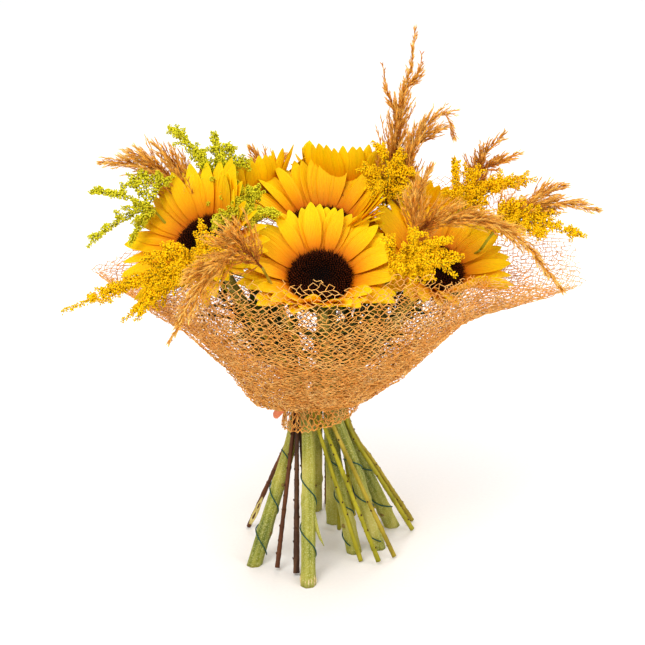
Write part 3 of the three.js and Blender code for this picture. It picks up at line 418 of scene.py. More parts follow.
class Material:
    """A node material whose colour runs over stops and is broken up by noise."""

    def __init__(self, name, roughness, sheen=0.0, subsurface=0.0, specular=0.4):
        self.material = bpy.data.materials.new(name)
        self.material.use_nodes = True
        self.tree = self.material.node_tree
        self.shader = self.tree.nodes["Principled BSDF"]
        settings = {"Roughness": roughness, "Specular IOR Level": specular, "Sheen Weight": sheen,
                    "Subsurface Weight": subsurface}
        if subsurface:
            settings |= {"Subsurface Radius": (1.0, 0.45, 0.1), "Subsurface Scale": 0.002}
        for key, value in settings.items():
            self.shader.inputs[key].default_value = value

    def node(self, kind, **settings):
        node = self.tree.nodes.new(kind)
        for key, value in settings.items():
            setattr(node, key, value)
        return node

    def feed(self, socket, value):
        """Gives a socket a number, a colour or another node's output."""
        if isinstance(value, (int, float, tuple)):
            socket.default_value = value
        else:
            self.tree.links.new(value, socket)

    def mark(self, name):
        return self.node("ShaderNodeAttribute", attribute_name=name).outputs["Fac"]

    def maths(self, operation, *values):
        node = self.node("ShaderNodeMath", operation=operation)
        for socket, value in zip(node.inputs, values):
            self.feed(socket, value)
        return node.outputs[0]

    def noise(self, scale, detail=4.0, stretch=1):
        """Noise in the object's own place; a stretch under 1 draws it out upwards."""
        mapping = self.node("ShaderNodeMapping")
        self.feed(mapping.inputs["Scale"], (1, 1, stretch))
        self.feed(mapping.inputs["Vector"], self.node("ShaderNodeTexCoord").outputs["Object"])
        noise = self.node("ShaderNodeTexNoise")
        self.feed(noise.inputs["Scale"], scale)
        self.feed(noise.inputs["Detail"], detail)
        self.feed(noise.inputs["Vector"], mapping.outputs[0])
        return noise.outputs["Fac"]

    def ramp(self, value, stops):
        """The colour between stops: three display numbers up to 255, or a shade as four of light."""
        node = self.node("ShaderNodeValToRGB")
        elements = node.color_ramp.elements
        while len(elements) < len(stops):
            elements.new(0.5)
        for element, (position, colour) in zip(elements, stops):
            element.position = position
            element.color = linear(*colour) if len(colour) == 3 else colour
        self.feed(node.inputs[0], value)
        return node.outputs["Color"]

    def blend(self, factor, first, second, mode="MIX"):
        node = self.node("ShaderNodeMix", data_type="RGBA", blend_type=mode)
        self.feed(node.inputs["Factor"], factor)
        self.feed(node.inputs[6], first)
        self.feed(node.inputs[7], second)
        return node.outputs[2]

    def shaded(self, base, name, stops):
        """Makes a colour darker or lighter by one of the mesh's marks, and gives it to the shader."""
        self.colour(self.blend(1.0, base, self.ramp(self.mark(name), stops), "MULTIPLY"))

    def colour(self, value):
        self.feed(self.shader.inputs["Base Color"], value)

    def bump(self, height, strength, distance):
        node = self.node("ShaderNodeBump")
        self.feed(node.inputs["Strength"], strength)
        self.feed(node.inputs["Distance"], distance)
        self.feed(node.inputs["Height"], height)
        self.feed(self.shader.inputs["Normal"], node.outputs[0])

    def rough(self, value, low, high):
        node = self.node("ShaderNodeMapRange")
        self.feed(node.inputs["To Min"], low)
        self.feed(node.inputs["To Max"], high)
        self.feed(node.inputs["Value"], value)
        self.feed(self.shader.inputs["Roughness"], node.outputs[0])


def petal_material():
    m = Material("petal_yellow_blade", 0.55, subsurface=0.2, specular=0.1)
    # Deep orange at the root to yellow at the tip: partly the petal's own colour, partly painted shade towards the
    # root.
    base = m.ramp(m.mark("along"), [
        (0.0, (176, 72, 0)), (0.18, (218, 116, 0)), (0.38, (248, 170, 0)), (0.62, (255, 204, 0)),
        (1.0, (255, 222, 12))])
    streaks = m.maths("SINE", m.maths("MULTIPLY", m.mark("across"), 34.0))
    streaks = m.maths("MULTIPLY_ADD", streaks, 0.5, 0.5)
    fine = m.noise(420, 3)
    lines = m.maths("MULTIPLY", streaks, fine)
    # Darker lengthwise lines: the petal's own veins, and painted shade in its creases.
    veins_and_crease_shade = m.blend(m.maths("MULTIPLY", lines, 0.5), base, linear(214, 116, 0))
    m.shaded(veins_and_crease_shade, "tint", [(0.0, (0.92, 0.86, 0.6, 1)), (1.0, (1.06, 1.04, 1.0, 1))])
    m.bump(streaks, 0.5, 0.0004)
    m.rough(fine, 0.42, 0.62)
    return m.material


def disc_material():
    m = Material("seed_brown_florets", 0.8, specular=0.06)
    tips = m.ramp(m.mark("across"), [
        (0.0, (10, 2, 0)), (0.5, (30, 10, 3)), (0.8, (74, 30, 8)), (1.0, (128, 64, 20))])
    m.shaded(tips, "tint", [(0.0, (0.2, 0.16, 0.12, 1)), (0.6, (0.7, 0.6, 0.5, 1)), (1.0, (1.5, 1.1, 0.8, 1))])
    m.bump(m.noise(900, 3), 0.4, 0.0004)
    return m.material


def stem_material():
    m = Material("sunflower_green_stalk", 0.65, specular=0.15)
    # Large blotches along the stalk: partly its own mottled colour, partly painted shade and painted highlights.
    mottle_and_painted_shade = m.noise(38, 5, 0.35)
    base = m.ramp(mottle_and_painted_shade, [(0.3, (84, 96, 22)), (0.43, (118, 122, 32)), (0.56, (154, 148, 54)), (0.7, (190, 178, 92))])
    ribs = m.maths("COSINE", m.maths("MULTIPLY", m.mark("across"), math.tau * STALK_RIBS))
    ribs = m.maths("MULTIPLY_ADD", ribs, 0.5, 0.5)
    ribbed = m.blend(m.maths("MULTIPLY", ribs, 0.3), base, linear(186, 180, 88))
    specks = m.ramp(m.noise(900, 2), [(0.5, (0, 0, 0, 1)), (0.68, (1, 1, 1, 1))])
    specked = m.blend(m.maths("MULTIPLY", specks, 0.5), ribbed, linear(210, 206, 140))
    # Swellings and old scars are brown.
    scarred = m.ramp(m.mark("tint"), [(0.05, (0.85, 0.85, 0.85, 1)), (0.27, (0, 0, 0, 1))])
    m.colour(m.blend(scarred, specked, linear(112, 78, 40)))
    m.bump(m.noise(620, 2), 0.6, 0.0005)
    m.rough(mottle_and_painted_shade, 0.5, 0.75)
    return m.material


def cut_material():
    m = Material("sunflower_green_cut_end", 0.85)
    grain = m.noise(500, 5)
    m.colour(m.ramp(grain, [(0.3, (176, 150, 92)), (0.55, (214, 192, 138)), (0.8, (232, 218, 176))]))
    m.bump(grain, 0.6, 0.0006)
    return m.material


def bract_material():
    m = Material("sunflower_green_bract", 0.6, specular=0.15)
    veins = m.noise(260, 5)
    base = m.ramp(m.mark("along"), [(0.0, (120, 128, 52)), (0.6, (96, 112, 40)), (1.0, (126, 116, 48))])
    m.colour(m.blend(m.maths("MULTIPLY", veins, 0.6), base, linear(150, 152, 84)))
    m.bump(veins, 0.5, 0.0005)
    return m.material


def plain_material(name, colours, places, scale, roughness, stretch=1, bump=0.4):
    """Colour runs along the piece's noise; the tint makes one part darker or lighter than the next."""
    m = Material(name, roughness, specular=0.2)
    noise = m.noise(scale, 5, stretch)
    m.shaded(m.ramp(noise, list(zip(places, colours))), "tint", [
        (0.0, (0.62, 0.6, 0.56, 1)), (0.5, (1, 1, 1, 1)), (1.0, (1.25, 1.22, 1.12, 1))])
    m.bump(noise, bump, 0.0004)
    m.rough(noise, roughness - 0.1, roughness + 0.1)
    return m.material


def floret_material(name, *colours):
    m = Material(name, 0.7, specular=0.08)
    m.shaded(m.ramp(m.mark("across"), list(zip((0.0, 0.35, 0.85), colours))), "tint", [
        (0.0, (0.7, 0.7, 0.42, 1)), (0.4, (1.0, 1.0, 0.9, 1)), (1.0, (1.2, 1.17, 1.0, 1))])
    m.bump(m.noise(900, 3), 0.3, 0.0004)
    return m.material


def reed_material():
    m = Material("reed_tan_spikelets", 0.55, sheen=0.05, specular=0.15)
    base = m.ramp(m.mark("along"), [
        (0.0, (122, 56, 10)), (0.3, (188, 108, 20)), (0.65, (226, 158, 46)), (1.0, (248, 202, 106))])
    m.shaded(base, "tint", [(0.0, (0.5, 0.4, 0.3, 1)), (0.6, (1, 1, 1, 1)), (1.0, (1.35, 1.3, 1.15, 1))])
    m.bump(m.noise(800, 3), 0.3, 0.0003)
    return m.material


MATERIALS = {
    "petal": petal_material(),
    "disc": disc_material(),
    "stem": stem_material(),
    "cut": cut_material(),
    "bract": bract_material(),
    "reed": reed_material(),
    "lime": floret_material("goldenrod_lime_florets", (112, 118, 6), (196, 192, 16), (226, 216, 50)),
    "yellow": floret_material("goldenrod_yellow_florets", (176, 138, 0), (242, 186, 0), (255, 208, 12)),
}

# Plain materials: name, colours from dark to light, their places in the noise, its scale, roughness and stretch.
for key, row in {
        "leaf": ("goldenrod_stem_leaf", [(34, 50, 12), (56, 74, 20), (86, 100, 30)], (0.3, 0.5, 0.75), 140, 0.6, 0.3),
        "thin": ("goldenrod_stem_bark", [(106, 104, 14), (160, 150, 24), (186, 172, 46)], (0.25, 0.5, 0.75),
                 90, 0.6, 0.2),
        "dark_culm": ("goldenrod_stem_dark_bark", [(36, 20, 12), (66, 40, 24), (104, 70, 44)], (0.25, 0.5, 0.75),
                      90, 0.6, 0.15),
        "knot": ("goldenrod_stem_node", [(46, 26, 14), (92, 56, 30)], (0.3, 0.7), 400, 0.8),
        "culm": ("reed_brown_culm", [(58, 30, 16), (96, 54, 26), (130, 84, 44)], (0.25, 0.5, 0.75), 80, 0.55, 0.15),
        "straw": ("reed_brown_straw", [(120, 104, 20), (164, 142, 36), (190, 166, 66)], (0.25, 0.5, 0.75),
                  80, 0.55, 0.15),
        "pith": ("reed_brown_pith", [(168, 150, 84), (206, 190, 124), (226, 214, 160)], (0.3, 0.6, 0.8), 200, 0.8),
        "wire": ("wire_green_paint", [(10, 52, 44), (24, 82, 68)], (0.3, 0.7), 600, 0.4, 1, 0.15),
        "net": ("net_orange_fibre", [(236, 156, 62), (246, 178, 88), (252, 204, 128)], (0.25, 0.5, 0.75), 60, 0.5),
        "ribbon": ("ribbon_salmon_satin", [(204, 104, 64), (224, 128, 84), (238, 154, 110)], (0.3, 0.6, 0.85),
                   300, 0.4, 6)}.items():
    MATERIALS[key] = plain_material(*row)

# ------------------------------------------------------------------ camera, light and floor


CAMERA_ELEVATION, CAMERA_DISTANCE, CAMERA_LENS = math.radians(21), 2.2, 122.8
CAMERA_TARGET = AXIS + np.array([0.0025, 0, 0.247])
WORLD_LIGHT = 0.85
# Lamps: name, place from the axis in metres, width and power; all point at the middle of the bunch.
LAMPS = [("key", (-0.9, -1.5, 2.2), 1.2, 38), ("fill", (1.6, -1.0, 1.3), 1.4, 14), ("back", (0.3, 1.6, 2.0), 1.2, 18)]
LAMP_TARGET = np.array([0, 0, 0.25])
# The floor's rings: radius in metres, and how far its colour has changed from the warm middle, a painted shadow, to
# white.
FLOOR_SHADOW_RINGS = [(0.1, 0.0), (0.25, 0.45), (0.4, 0.85), (0.7, 1.0), (1.5, 1.0), (8.0, 1.0)]
FLOOR_SIDES = 64


def add_camera(scene):
    camera = bpy.data.objects.new("camera", bpy.data.cameras.new("camera"))
    scene.collection.objects.link(camera)
    camera.data.lens = CAMERA_LENS
    camera.data.sensor_width = 36
    offset = np.array([0, -math.cos(CAMERA_ELEVATION), math.sin(CAMERA_ELEVATION)]) * CAMERA_DISTANCE
    camera.location = CAMERA_TARGET + offset
    camera.rotation_euler = (math.pi / 2 - CAMERA_ELEVATION, 0, 0)
    scene.camera = camera


def add_lamps(scene):
    world = bpy.data.worlds.new("studio")
    scene.world = world
    world.use_nodes = True
    world.node_tree.nodes["Background"].inputs["Color"].default_value = (1, 1, 1, 1)
    world.node_tree.nodes["Background"].inputs["Strength"].default_value = WORLD_LIGHT
    for name, place, size, power in LAMPS:
        light = bpy.data.lights.new(name, "AREA")
        light.size = size
        light.energy = power
        lamp = bpy.data.objects.new(name, light)
        lamp.location = AXIS + np.array(place)
        way = LAMP_TARGET - np.array(place)
        lamp.rotation_euler = (math.acos(-unit(way)[2]), 0, math.atan2(way[1], way[0]) - math.pi / 2)
        scene.collection.objects.link(lamp)


def add_floor(scene):
    """A round sheet of paper with a painted shadow: a little darker and warmer under the bunch."""
    radii, shadow_fade = np.array(FLOOR_SHADOW_RINGS).T
    angle = np.linspace(0, math.tau, FLOOR_SIDES, endpoint=False)
    rings = np.stack([np.cos(angle)[None] * radii[:, None], np.sin(angle)[None] * radii[:, None],
                      np.zeros((len(radii), FLOOR_SIDES))], axis=2).reshape(-1, 3)
    quads = ring_quads(len(radii), FLOOR_SIDES)[:, [0, 3, 2, 1]]
    mesh = bpy.data.meshes.new("floor")
    mesh.from_pydata(rings.tolist(), [], [tuple(range(FLOOR_SIDES)), *quads.tolist()])
    shade = mesh.attributes.new("along", "FLOAT", "POINT")
    shade.data.foreach_set("value", np.repeat(shadow_fade, FLOOR_SIDES).astype(np.float32))
    floor = bpy.data.objects.new("floor", mesh)
    scene.collection.objects.link(floor)
    paper = Material("floor_paper", 0.9, specular=0.1)
    # Painted shadow: the paper's colour is darker and warmer near the bunch, and white farther out.
    tone = paper.ramp(paper.mark("along"), [(0.0, (0.86, 0.84, 0.805, 1)), (1.0, (0.97, 0.97, 0.97, 1))])
    grain = paper.ramp(paper.noise(300, 3), [(0.3, (0.97, 0.97, 0.97, 1)), (0.7, (1, 1, 1, 1))])
    paper.colour(paper.blend(1.0, tone, grain, "MULTIPLY"))
    mesh.materials.append(paper.material)


def studio():
    scene = bpy.context.scene
    scene.view_settings.view_transform = "Standard"
    add_camera(scene)
    add_lamps(scene)
    add_floor(scene)


studio()

# ------------------------------------------------------------------ stems


UP, BACK = np.array([0, 0, 1.0]), np.array([0, 1.0, 0])
# Stems are measured in slices this far apart.
SLICE = 12.5
HAIRS, HAIR_LENGTH, HAIR_WIDTH = 1500, 0.9, 0.16


def centreline(name, top):
    """The middle of a stem node at even heights, from its foot to a height below its top, in millimetres."""
    points, edges = node_points(name)
    points = (points - AXIS) * 1000
    foot = points[:, 2].min()
    a, b = points[edges[:, 0]], points[edges[:, 1]]
    out = []
    for z in np.arange(foot + 2, top, SLICE):
        hit = (a[:, 2] - z) * (b[:, 2] - z) < 0
        share = (z - a[hit, 2]) / (b[hit, 2] - a[hit, 2])
        cut = a[hit, :2] + share[:, None] * (b[hit, :2] - a[hit, :2])
        middle = cut.mean(axis=0)
        order = np.argsort(np.arctan2(cut[:, 1] - middle[1], cut[:, 0] - middle[0]))
        x, y = cut[order, 0], cut[order, 1]
        x2, y2 = np.roll(x, -1), np.roll(y, -1)
        cross = x * y2 - x2 * y
        area = cross.sum() / 2
        if len(cut) >= 3 and abs(area) > 0.5:
            middle = np.array([((x + x2) * cross).sum(), ((y + y2) * cross).sum()]) / (6 * area)
        out.append([middle[0], middle[1], z])
    out = np.array(out)
    first = out[0] + (out[0] - out[1]) * ((out[0, 2] - foot) / (out[1, 2] - out[0, 2]))
    return np.vstack([first, out])


def head_frame(index):
    """A head's centre, the way it faces and the two directions across it."""
    centre, azimuth, elevation = HEADS[index]
    a, e = math.radians(azimuth), math.radians(elevation)
    heading = np.array([math.cos(e) * math.cos(a), math.cos(e) * math.sin(a), math.sin(e)])
    right = unit(np.cross(UP, heading))
    return np.array(centre, dtype=float), heading, right, np.cross(heading, right)


def head_point(head, radius, angle, height):
    centre, heading, right, up = head
    radius, angle, height = (np.asarray(v, dtype=float)[..., None] for v in (radius, angle, height))
    return centre + right * np.cos(angle) * radius + up * np.sin(angle) * radius + heading * height


NEEDLE = np.array([[0.5, 0, 0], [-0.25, 0.43, 0], [-0.25, -0.43, 0], [0, 0, 1.0]])
NEEDLE_FACES = [[[0, 2, 1], [0, 1, 3], [1, 2, 3], [2, 0, 3]]]


def add_hairs(b, path, radii, rng):
    """Short pale hairs that stand off a stem."""
    along, x, y = frames_along(path)
    place = rng.uniform(0, len(path) - 1.001, HAIRS)
    k = place.astype(int)
    t = (place - k)[:, None]
    out = unit(around(x[k], y[k], rng.uniform(0, math.tau, HAIRS)[:, None]))
    at = path[k] * (1 - t) + path[k + 1] * t + out * radii[k][:, None] * 0.95
    direction = unit(out + along[k] * rng.normal(0, 0.4, (HAIRS, 1)) + rng.normal(0, 0.25, (HAIRS, 3)))
    side, other = crosswise(direction, rng)
    size = HAIR_LENGTH * rng.uniform(0.5, 1.2, (HAIRS, 1))
    b.copies(NEEDLE, NEEDLE_FACES, at, side * HAIR_WIDTH, other * HAIR_WIDTH, direction * size, tint=0.9)


def add_blade(b, middle, facing, half, thickness, crown, tint, kind=0, columns=5, twist=0.0, ribs=0.0):
    """A closed thin blade along its middle line, from its half widths; it lies square to what it faces."""
    n = len(middle)
    along = unit(np.gradient(middle, axis=0))
    side = unit(np.cross(facing[None], along))
    up = np.cross(along, side)
    t = np.linspace(-1, 1, columns)
    turn = (twist * np.linspace(0, 1, n))[:, None]
    side, up = side * np.cos(turn) + up * np.sin(turn), -side * np.sin(turn) + up * np.cos(turn)
    half = np.asarray(half)[:, None]
    lift = crown * half * (t[None] ** 2 - 0.3) + ribs * np.minimum(1, half / 4) * np.cos(t[None] * math.pi * 4.5)
    surface = middle[:, None] + side[:, None] * (half * t[None])[..., None] + up[:, None] * lift[..., None]
    # The edges and the narrow ends are thinner than the middle.
    edge = (1 - 0.55 * t ** 2)[None, :, None] * np.minimum(1.0, 0.3 + half / 3)[:, :, None]
    skin = up[:, None] * thickness / 2 * edge
    points = np.concatenate([(surface + skin).reshape(-1, 3), (surface - skin).reshape(-1, 3)])
    share = np.repeat(np.linspace(0, 1, n), columns)
    b.add(points, sheet_faces(n, columns), along=np.tile(share, 2), across=np.tile(t, 2 * n), tint=tint, kind=kind)


def add_turned(b, head, profile, ends, sides, tint, flutes=0.0, along=0.0, kind=0):
    """A closed form round a head's axis: radius and height of its rings, and the heights where it closes."""
    angle = np.linspace(0, math.tau, sides, endpoint=False)
    rings = [head_point(head, r + flutes * np.sin(angle * 9), angle, h) for r, h in profile]
    middles = [head_point(head, 0, 0, h) for h in ends]
    rows = len(profile)
    b.add(np.vstack([*rings, *middles]), [ring_quads(rows, sides), ring_caps(rows, sides)],
          along=along, tint=tint, kind=kind)


# The numbers of a sunflower stalk's materials, and of a thin stem's; leaves have the same in both.
STALK, CUT, GREEN = 0, 1, 2
BARK, KNOT, PITH = 0, 1, 3
# How far the stalk ends behind the face, and how far below that its line is read from the solid.
CUP_DEPTH, CUP_BEND = 22, 34
CUP_PROFILE = [(5.5, -23), (9, -22.5), (15, -19), (22, -14), (28, -9), (31.5, -4.5), (31.5, -2.6), (10, -1.2)]
# Rows of bracts: how many, how far out and how low their tips are, and how far out their roots.
BRACTS = [(16, 43, -10, 24), (16, 39, -7.5, 27), (14, 34, -13, 18)]


def level_foot(b, path):
    """Slides the stalk's lowest ring along it on to the floor, and gives the cut its own material."""
    points = b.points[0]
    ring = points[:STALK_SIDES]
    direction = unit(path[1] - path[0])
    ring += direction * ((-ring[:, 2:3]) / direction[2])
    points[-2] = path[0] - direction * path[0, 2] / direction[2]
    np.maximum(points[STALK_SIDES:, 2], 0.2, out=points[STALK_SIDES:, 2])
    points[-2, 2] = 0
    b.kinds[1][:STALK_SIDES] = CUT


def add_leaf_scars(b, path, radii, scars, rng):
    """A leaf scar on each swelling of the stalk."""
    along, x, y = frames_along(path)
    for k in scars:
        out = around(x[k], y[k], rng.uniform(0, math.tau))
        start = path[k] + out * radii[k] * 0.6
        line = [start, start + out * radii[k] * 0.42, start + out * radii[k] * 0.6 + along[k] * 0.8]
        b.tube(line, [3.4, 2.8, 1.6], 11, tint=0.08)


def add_peeled_foot(b, path, rng):
    """A strip of bark that has peeled off a stalk, and torn fibres round its cut."""
    away = np.array([[5, -2.4, 0], [6.4, -3, 0], [9, -4, 0], [12, -4.5, 0], [16, -4.5, 0]])
    add_blade(b, path[[19, 17, 14, 12, 10]] + away, BACK, [1.5, 1.9, 1.9, 1.4, 0.3], 0.7, 0.4, 0.3)
    for _ in range(16):
        turn = rng.uniform(0, math.tau)
        out = np.array([math.cos(turn), math.sin(turn), 0])
        low = path[0] * (1, 1, 0) + out * 7.4
        way = (path[4] + out * 7.2 - low) * rng.uniform(0.4, 1.0)
        b.tube([low + UP * 0.6, low + way * 0.5 + out * 0.7, low + way], [0.7, 0.8, 0.15], 5, tint=0.9, kind=CUT)


def add_bracts(b, head, rng):
    s = np.array([0, 0.3, 0.6, 0.85, 1.0])
    width = np.array([5.2, 5.6, 4.0, 1.6, 0.15])
    for row, (count, reach, droop, root) in enumerate(BRACTS):
        foot = -7 - row * 2.5
        for k in range(count):
            angle = (k + 0.5 * (row % 2) + rng.uniform(-0.15, 0.15)) / count * math.tau
            r = root + (reach * rng.uniform(0.92, 1.04) - root) * s
            h = foot + (droop - foot) * s + rng.uniform(-2, 2) * s * s
            add_blade(b, head_point(head, r, angle, h), head[1], width, 0.5, 0.5, rng.uniform(0.3, 0.8), kind=GREEN)


def add_leaves(b, path, rng, breadth=4.4, step=2):
    """The leaves left on a stalk, inside the net."""
    along, x, y = frames_along(path)
    turn = rng.uniform(0, math.tau)
    s = np.linspace(0, 1, 8)
    shape = np.array([0.2, 0.6, 0.9, 1.0, 0.9, 0.65, 0.35, 0.03])
    for k in range(int(np.searchsorted(path[:, 2], LEAVES_FROM)), len(path) - 2, step):
        turn += 2.4
        length = rng.uniform(34, 56)
        lean = rng.uniform(0.5, 1.0)
        way = along[k] * math.cos(lean) + around(x[k], y[k], turn) * math.sin(lean)
        leaf = path[k] + way * (length * s)[:, None] - UP * (length * 0.22 * s ** 2)[:, None]
        width = breadth * rng.uniform(0.82, 1.18) * shape
        if past_net(leaf[-1], 12) or past_net(leaf[5], 12) or leaf[-1, 2] > LEAVES_TO:
            continue
        add_blade(b, leaf, UP, width, 0.5, 0.3, rng.uniform(0.2, 0.9), kind=GREEN)


def build_sunflower_stem(index):
    """The stalk with its cup, leaves and hairs; gives its line and radii, for the wires."""
    head = head_frame(index)
    centre, heading, _, _ = head
    name = f"sunflower_{index + 1}"
    top = centre - heading * CUP_DEPTH
    low = centreline(f"{name}_stem", top[2] - CUP_BEND)
    path = even_path(smooth_path(np.vstack([low[::2], top, top + heading * 6]), 90), STALK_STEP)
    path[0, 2] = low[0, 2]
    z = path[:, 2]
    radii = np.where(z < BINDING_Z, FOOT_RADIUS + (TIED_RADIUS - FOOT_RADIUS) * z / BINDING_Z,
                     TIED_RADIUS - (z - BINDING_Z) / (top[2] - BINDING_Z))
    rng = np.random.default_rng(40 + index)
    steps = np.arange(len(path))
    wobble = 1 + 0.02 * np.sin(steps * 0.4 + index) + 0.008 * rng.normal(size=len(path))
    scars = SCARS.get(index, rng.integers(5, 30, 2))
    for k in scars:
        wobble += 0.13 * np.exp(-(steps - k) ** 2.0)
    b = Builder()
    # The tint is low on the swellings, where the material is brown.
    tint = np.repeat(np.clip(0.6 - 3.4 * (wobble - 1.04), 0.12, 0.6), STALK_SIDES)
    b.tube(path, radii * wobble, STALK_SIDES, tint=np.append(tint, [0.6, 0.6]), kind=STALK, ribs=STALK_RIBS,
           rib_depth=0.035)
    level_foot(b, path)
    add_leaf_scars(b, path, radii, scars, rng)
    leafy = path[:int(len(path) * 0.82)]
    add_leaves(b, leafy, np.random.default_rng(60 + index), breadth=9.5, step=3 if index else 2)
    below = (z < 140) & (z > 3)
    add_hairs(b, path[below], radii[below], rng)
    if index == PEELED_STALK:
        add_peeled_foot(b, path, rng)
    add_turned(b, head, CUP_PROFILE, (-23, -1), 40, 0.5, flutes=0.5, along=0.3, kind=GREEN)
    add_bracts(b, head, rng)
    obj = b.finish(f"{name}_stalk_and_cup", [MATERIALS["stem"], MATERIALS["cut"], MATERIALS["bract"]])
    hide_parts(f"{name}_stem")
    return path, radii * np.maximum(1, wobble)


def add_knots(b, path, radii, rng):
    """Nodes where the leaves were stripped: a slight swelling and a dark bud on one side."""
    along, x, y = frames_along(path)
    k = 4
    while k < len(path) * 0.45:
        out, r = around(x[k], y[k], rng.uniform(0, math.tau)), radii[k]
        start = path[k] + out * r * 0.5
        stub = [start, start + out * r * 0.6 + along[k] * 0.7, start + out * r * 0.8 + along[k] * 1.7]
        b.tube(stub, [1.0, 0.9, 0.35], 7, tint=0.4, kind=KNOT, round_ends=True)
        swelling = [path[k] + along[k] * s for s in (-1.4, 0, 1.4)]
        b.tube(swelling, [r * 0.9, r * 1.14, r * 0.9], 10, tint=0.4, kind=BARK)
        k += int(rng.integers(3, 7))


# A thin stem's radius at its foot, at the binding and at its top; dark ones are thicker at the foot.
THIN_RADII, DARK_FOOT_RADIUS = (2.5, 1.9, 1.3), 3.2
# The first goldenrods have dark stems, and the first reeds brown ones.
DARK_GOLDENRODS, BROWN_REEDS = 2, 5


def build_thin_stem(kind, index, axis, material):
    name = f"{kind}_{index + 1}_stem"
    top = np.array(axis[0], dtype=float)
    low = centreline(name, top[2] - 4)
    path = even_path(smooth_path(np.vstack([low[::2], top]), 80), 3.5)
    foot = DARK_FOOT_RADIUS if material == "dark_culm" else THIN_RADII[0]
    radii = np.interp(path[:, 2], [0, BINDING_Z, top[2]], [foot, *THIN_RADII[1:]])
    rng = np.random.default_rng(80 + index + (0 if kind == "goldenrod" else 50))
    b = Builder()
    b.tube(path, radii * (1 + 0.05 * rng.normal(size=len(path))), 10, ribs=5, rib_depth=0.05,
           tint=rng.uniform(0.35, 0.65))
    add_knots(b, path, radii, rng)
    if kind == "goldenrod":
        add_leaves(b, path, rng)
    if (kind, index) == ("reed", SPLIT_REED):
        # The stalk shows its pale inside.
        split = path[1:13] + np.array([0.4, -2.3, 0.6])
        width = 2.9 * np.sin(np.linspace(0.5, math.pi - 0.1, len(split)))
        add_blade(b, split, BACK, width, 0.8, -0.5, 0.9, kind=PITH)
    materials = [material, "knot", "leaf", "pith"]
    obj = b.finish(f"{kind}_{index + 1}_stalk", [MATERIALS[key] for key in materials[:max(b.used()) + 1]])
    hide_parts(name)


stalks = [build_sunflower_stem(number) for number in range(len(HEADS))]
for number, (_, axis, _) in enumerate(GOLDENROD):
    build_thin_stem("goldenrod", number, axis, "dark_culm" if number < DARK_GOLDENRODS else "thin")
for number, (axis, _) in enumerate(REEDS):
    build_thin_stem("reed", number, axis, "culm" if number < BROWN_REEDS else "straw")


WIRE_RADIUS, WIRE_STANDS_OFF, WIRE_STEP = 0.65, 0.75, 0.9


def build_wire(number, sunflower, from_z, to_z, pitch, turn):
    """Green wire wound round a sunflower stalk, its two ends standing a little off it."""
    path, radii = stalks[sunflower - 1]
    z = np.arange(from_z, to_z, WIRE_STEP)
    _, x, y = frames_along(path)
    at, x, y = (np.stack([np.interp(z, path[:, 2], v[:, k]) for k in range(3)], axis=1) for v in (path, x, y))
    radius = np.interp(z, path[:, 2], radii) + WIRE_STANDS_OFF
    radius[-9:] += np.linspace(0, 2.4, 9) ** 1.3
    radius[:6] += np.linspace(0.8, 0, 6)
    angle = (turn / 7 - (z - from_z) / pitch) * math.tau
    b = Builder()
    line = at + x * (np.cos(angle) * radius)[:, None] + y * (np.sin(angle) * radius)[:, None]
    b.tube(line, WIRE_RADIUS, 8, round_ends=True)
    obj = b.finish(f"wire_{number}_winding", [MATERIALS["wire"]])
    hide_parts(f"florist_wire_{number}")


for row in WIRES:
    build_wire(*row)

# ------------------------------------------------------------------ sunflower heads


# A solid's petal tips are all farther than this from their head's centre.
TIPS_FROM = 48


def petal_tips(index):
    """Angle, radius and height of each petal's tip on the solid, in its head's own measure."""
    points, edges = node_points(f"sunflower_{index + 1}_petals")
    centre, heading, right, up = head_frame(index)
    rel = (points - AXIS) * 1000 - centre
    far = np.linalg.norm(rel, axis=1)
    is_tip = far > TIPS_FROM
    a, b = edges[:, 0], edges[:, 1]
    is_tip[a[far[a] < far[b]]] = False
    is_tip[b[far[b] < far[a]]] = False
    rel = rel[is_tip]
    x, y, h = rel @ right, rel @ up, rel @ heading
    return np.array(sorted(zip(np.arctan2(y, x), np.hypot(x, y), h))).T


# A petal's half width along its length, as a share of the widest.
PETAL_STATIONS = np.array([0, 0.05, 0.12, 0.2, 0.3, 0.4, 0.5, 0.6, 0.7, 0.79, 0.87, 0.93, 0.975, 1.0])
PETAL_WIDTHS = np.array([0.34, 0.42, 0.55, 0.7, 0.85, 0.95, 1.0, 0.98, 0.9, 0.76, 0.57, 0.37, 0.18, 0.02])
ROOT = PETAL_ROOT_RADIUS - 2.5
# Petals stand about this many degrees apart. Where the leaning head rests on head 1 its ring has a wide gap,
# which would take more fillers than this and stays empty.
PETAL_SPACING, LEANING_HEAD, MOST_FILLERS = 9, 1, 4


def add_petal(b, head, angle, rise, length, width, rng, lift=0.0):
    """A petal that rises at an angle from the ring; steep ones bow up, the others bend down at their tips."""
    s = PETAL_STATIONS
    bow = math.radians(-9) + 1.1 * max(0.0, rise - math.radians(40))
    bend = rise - bow + 2 * bow * s
    step = np.diff(s, prepend=0.0)
    run, climb = np.cumsum(np.cos(bend) * step), np.cumsum(np.sin(bend) * step)
    scale = length / math.hypot(run[-1], climb[-1])
    h = PETAL_ROOT_HEIGHT + 0.3 + lift + climb * scale + rng.uniform(-0.8, 0.8) * np.sin(s * math.pi * 1.5)
    start = angle + rng.uniform(-0.06, 0.06)
    middle = head_point(head, ROOT + run * scale, start + (angle - start) * s ** 2, h)
    add_blade(b, middle, head[1], PETAL_WIDTHS * width, 0.55, rng.uniform(0.1, 0.28), rng.uniform(0.1, 1.0),
              columns=13, twist=rng.uniform(-0.35, 0.35), ribs=0.28)


def clear_rise(head, angle, rise, length):
    """The rise at which a petal's tip keeps inside the net."""
    while rise < 1.3 and past_net(head_point(head, ROOT + length * math.cos(rise), angle,
                                             PETAL_ROOT_HEIGHT + length * math.sin(rise)), 6):
        rise += 0.05
    return rise


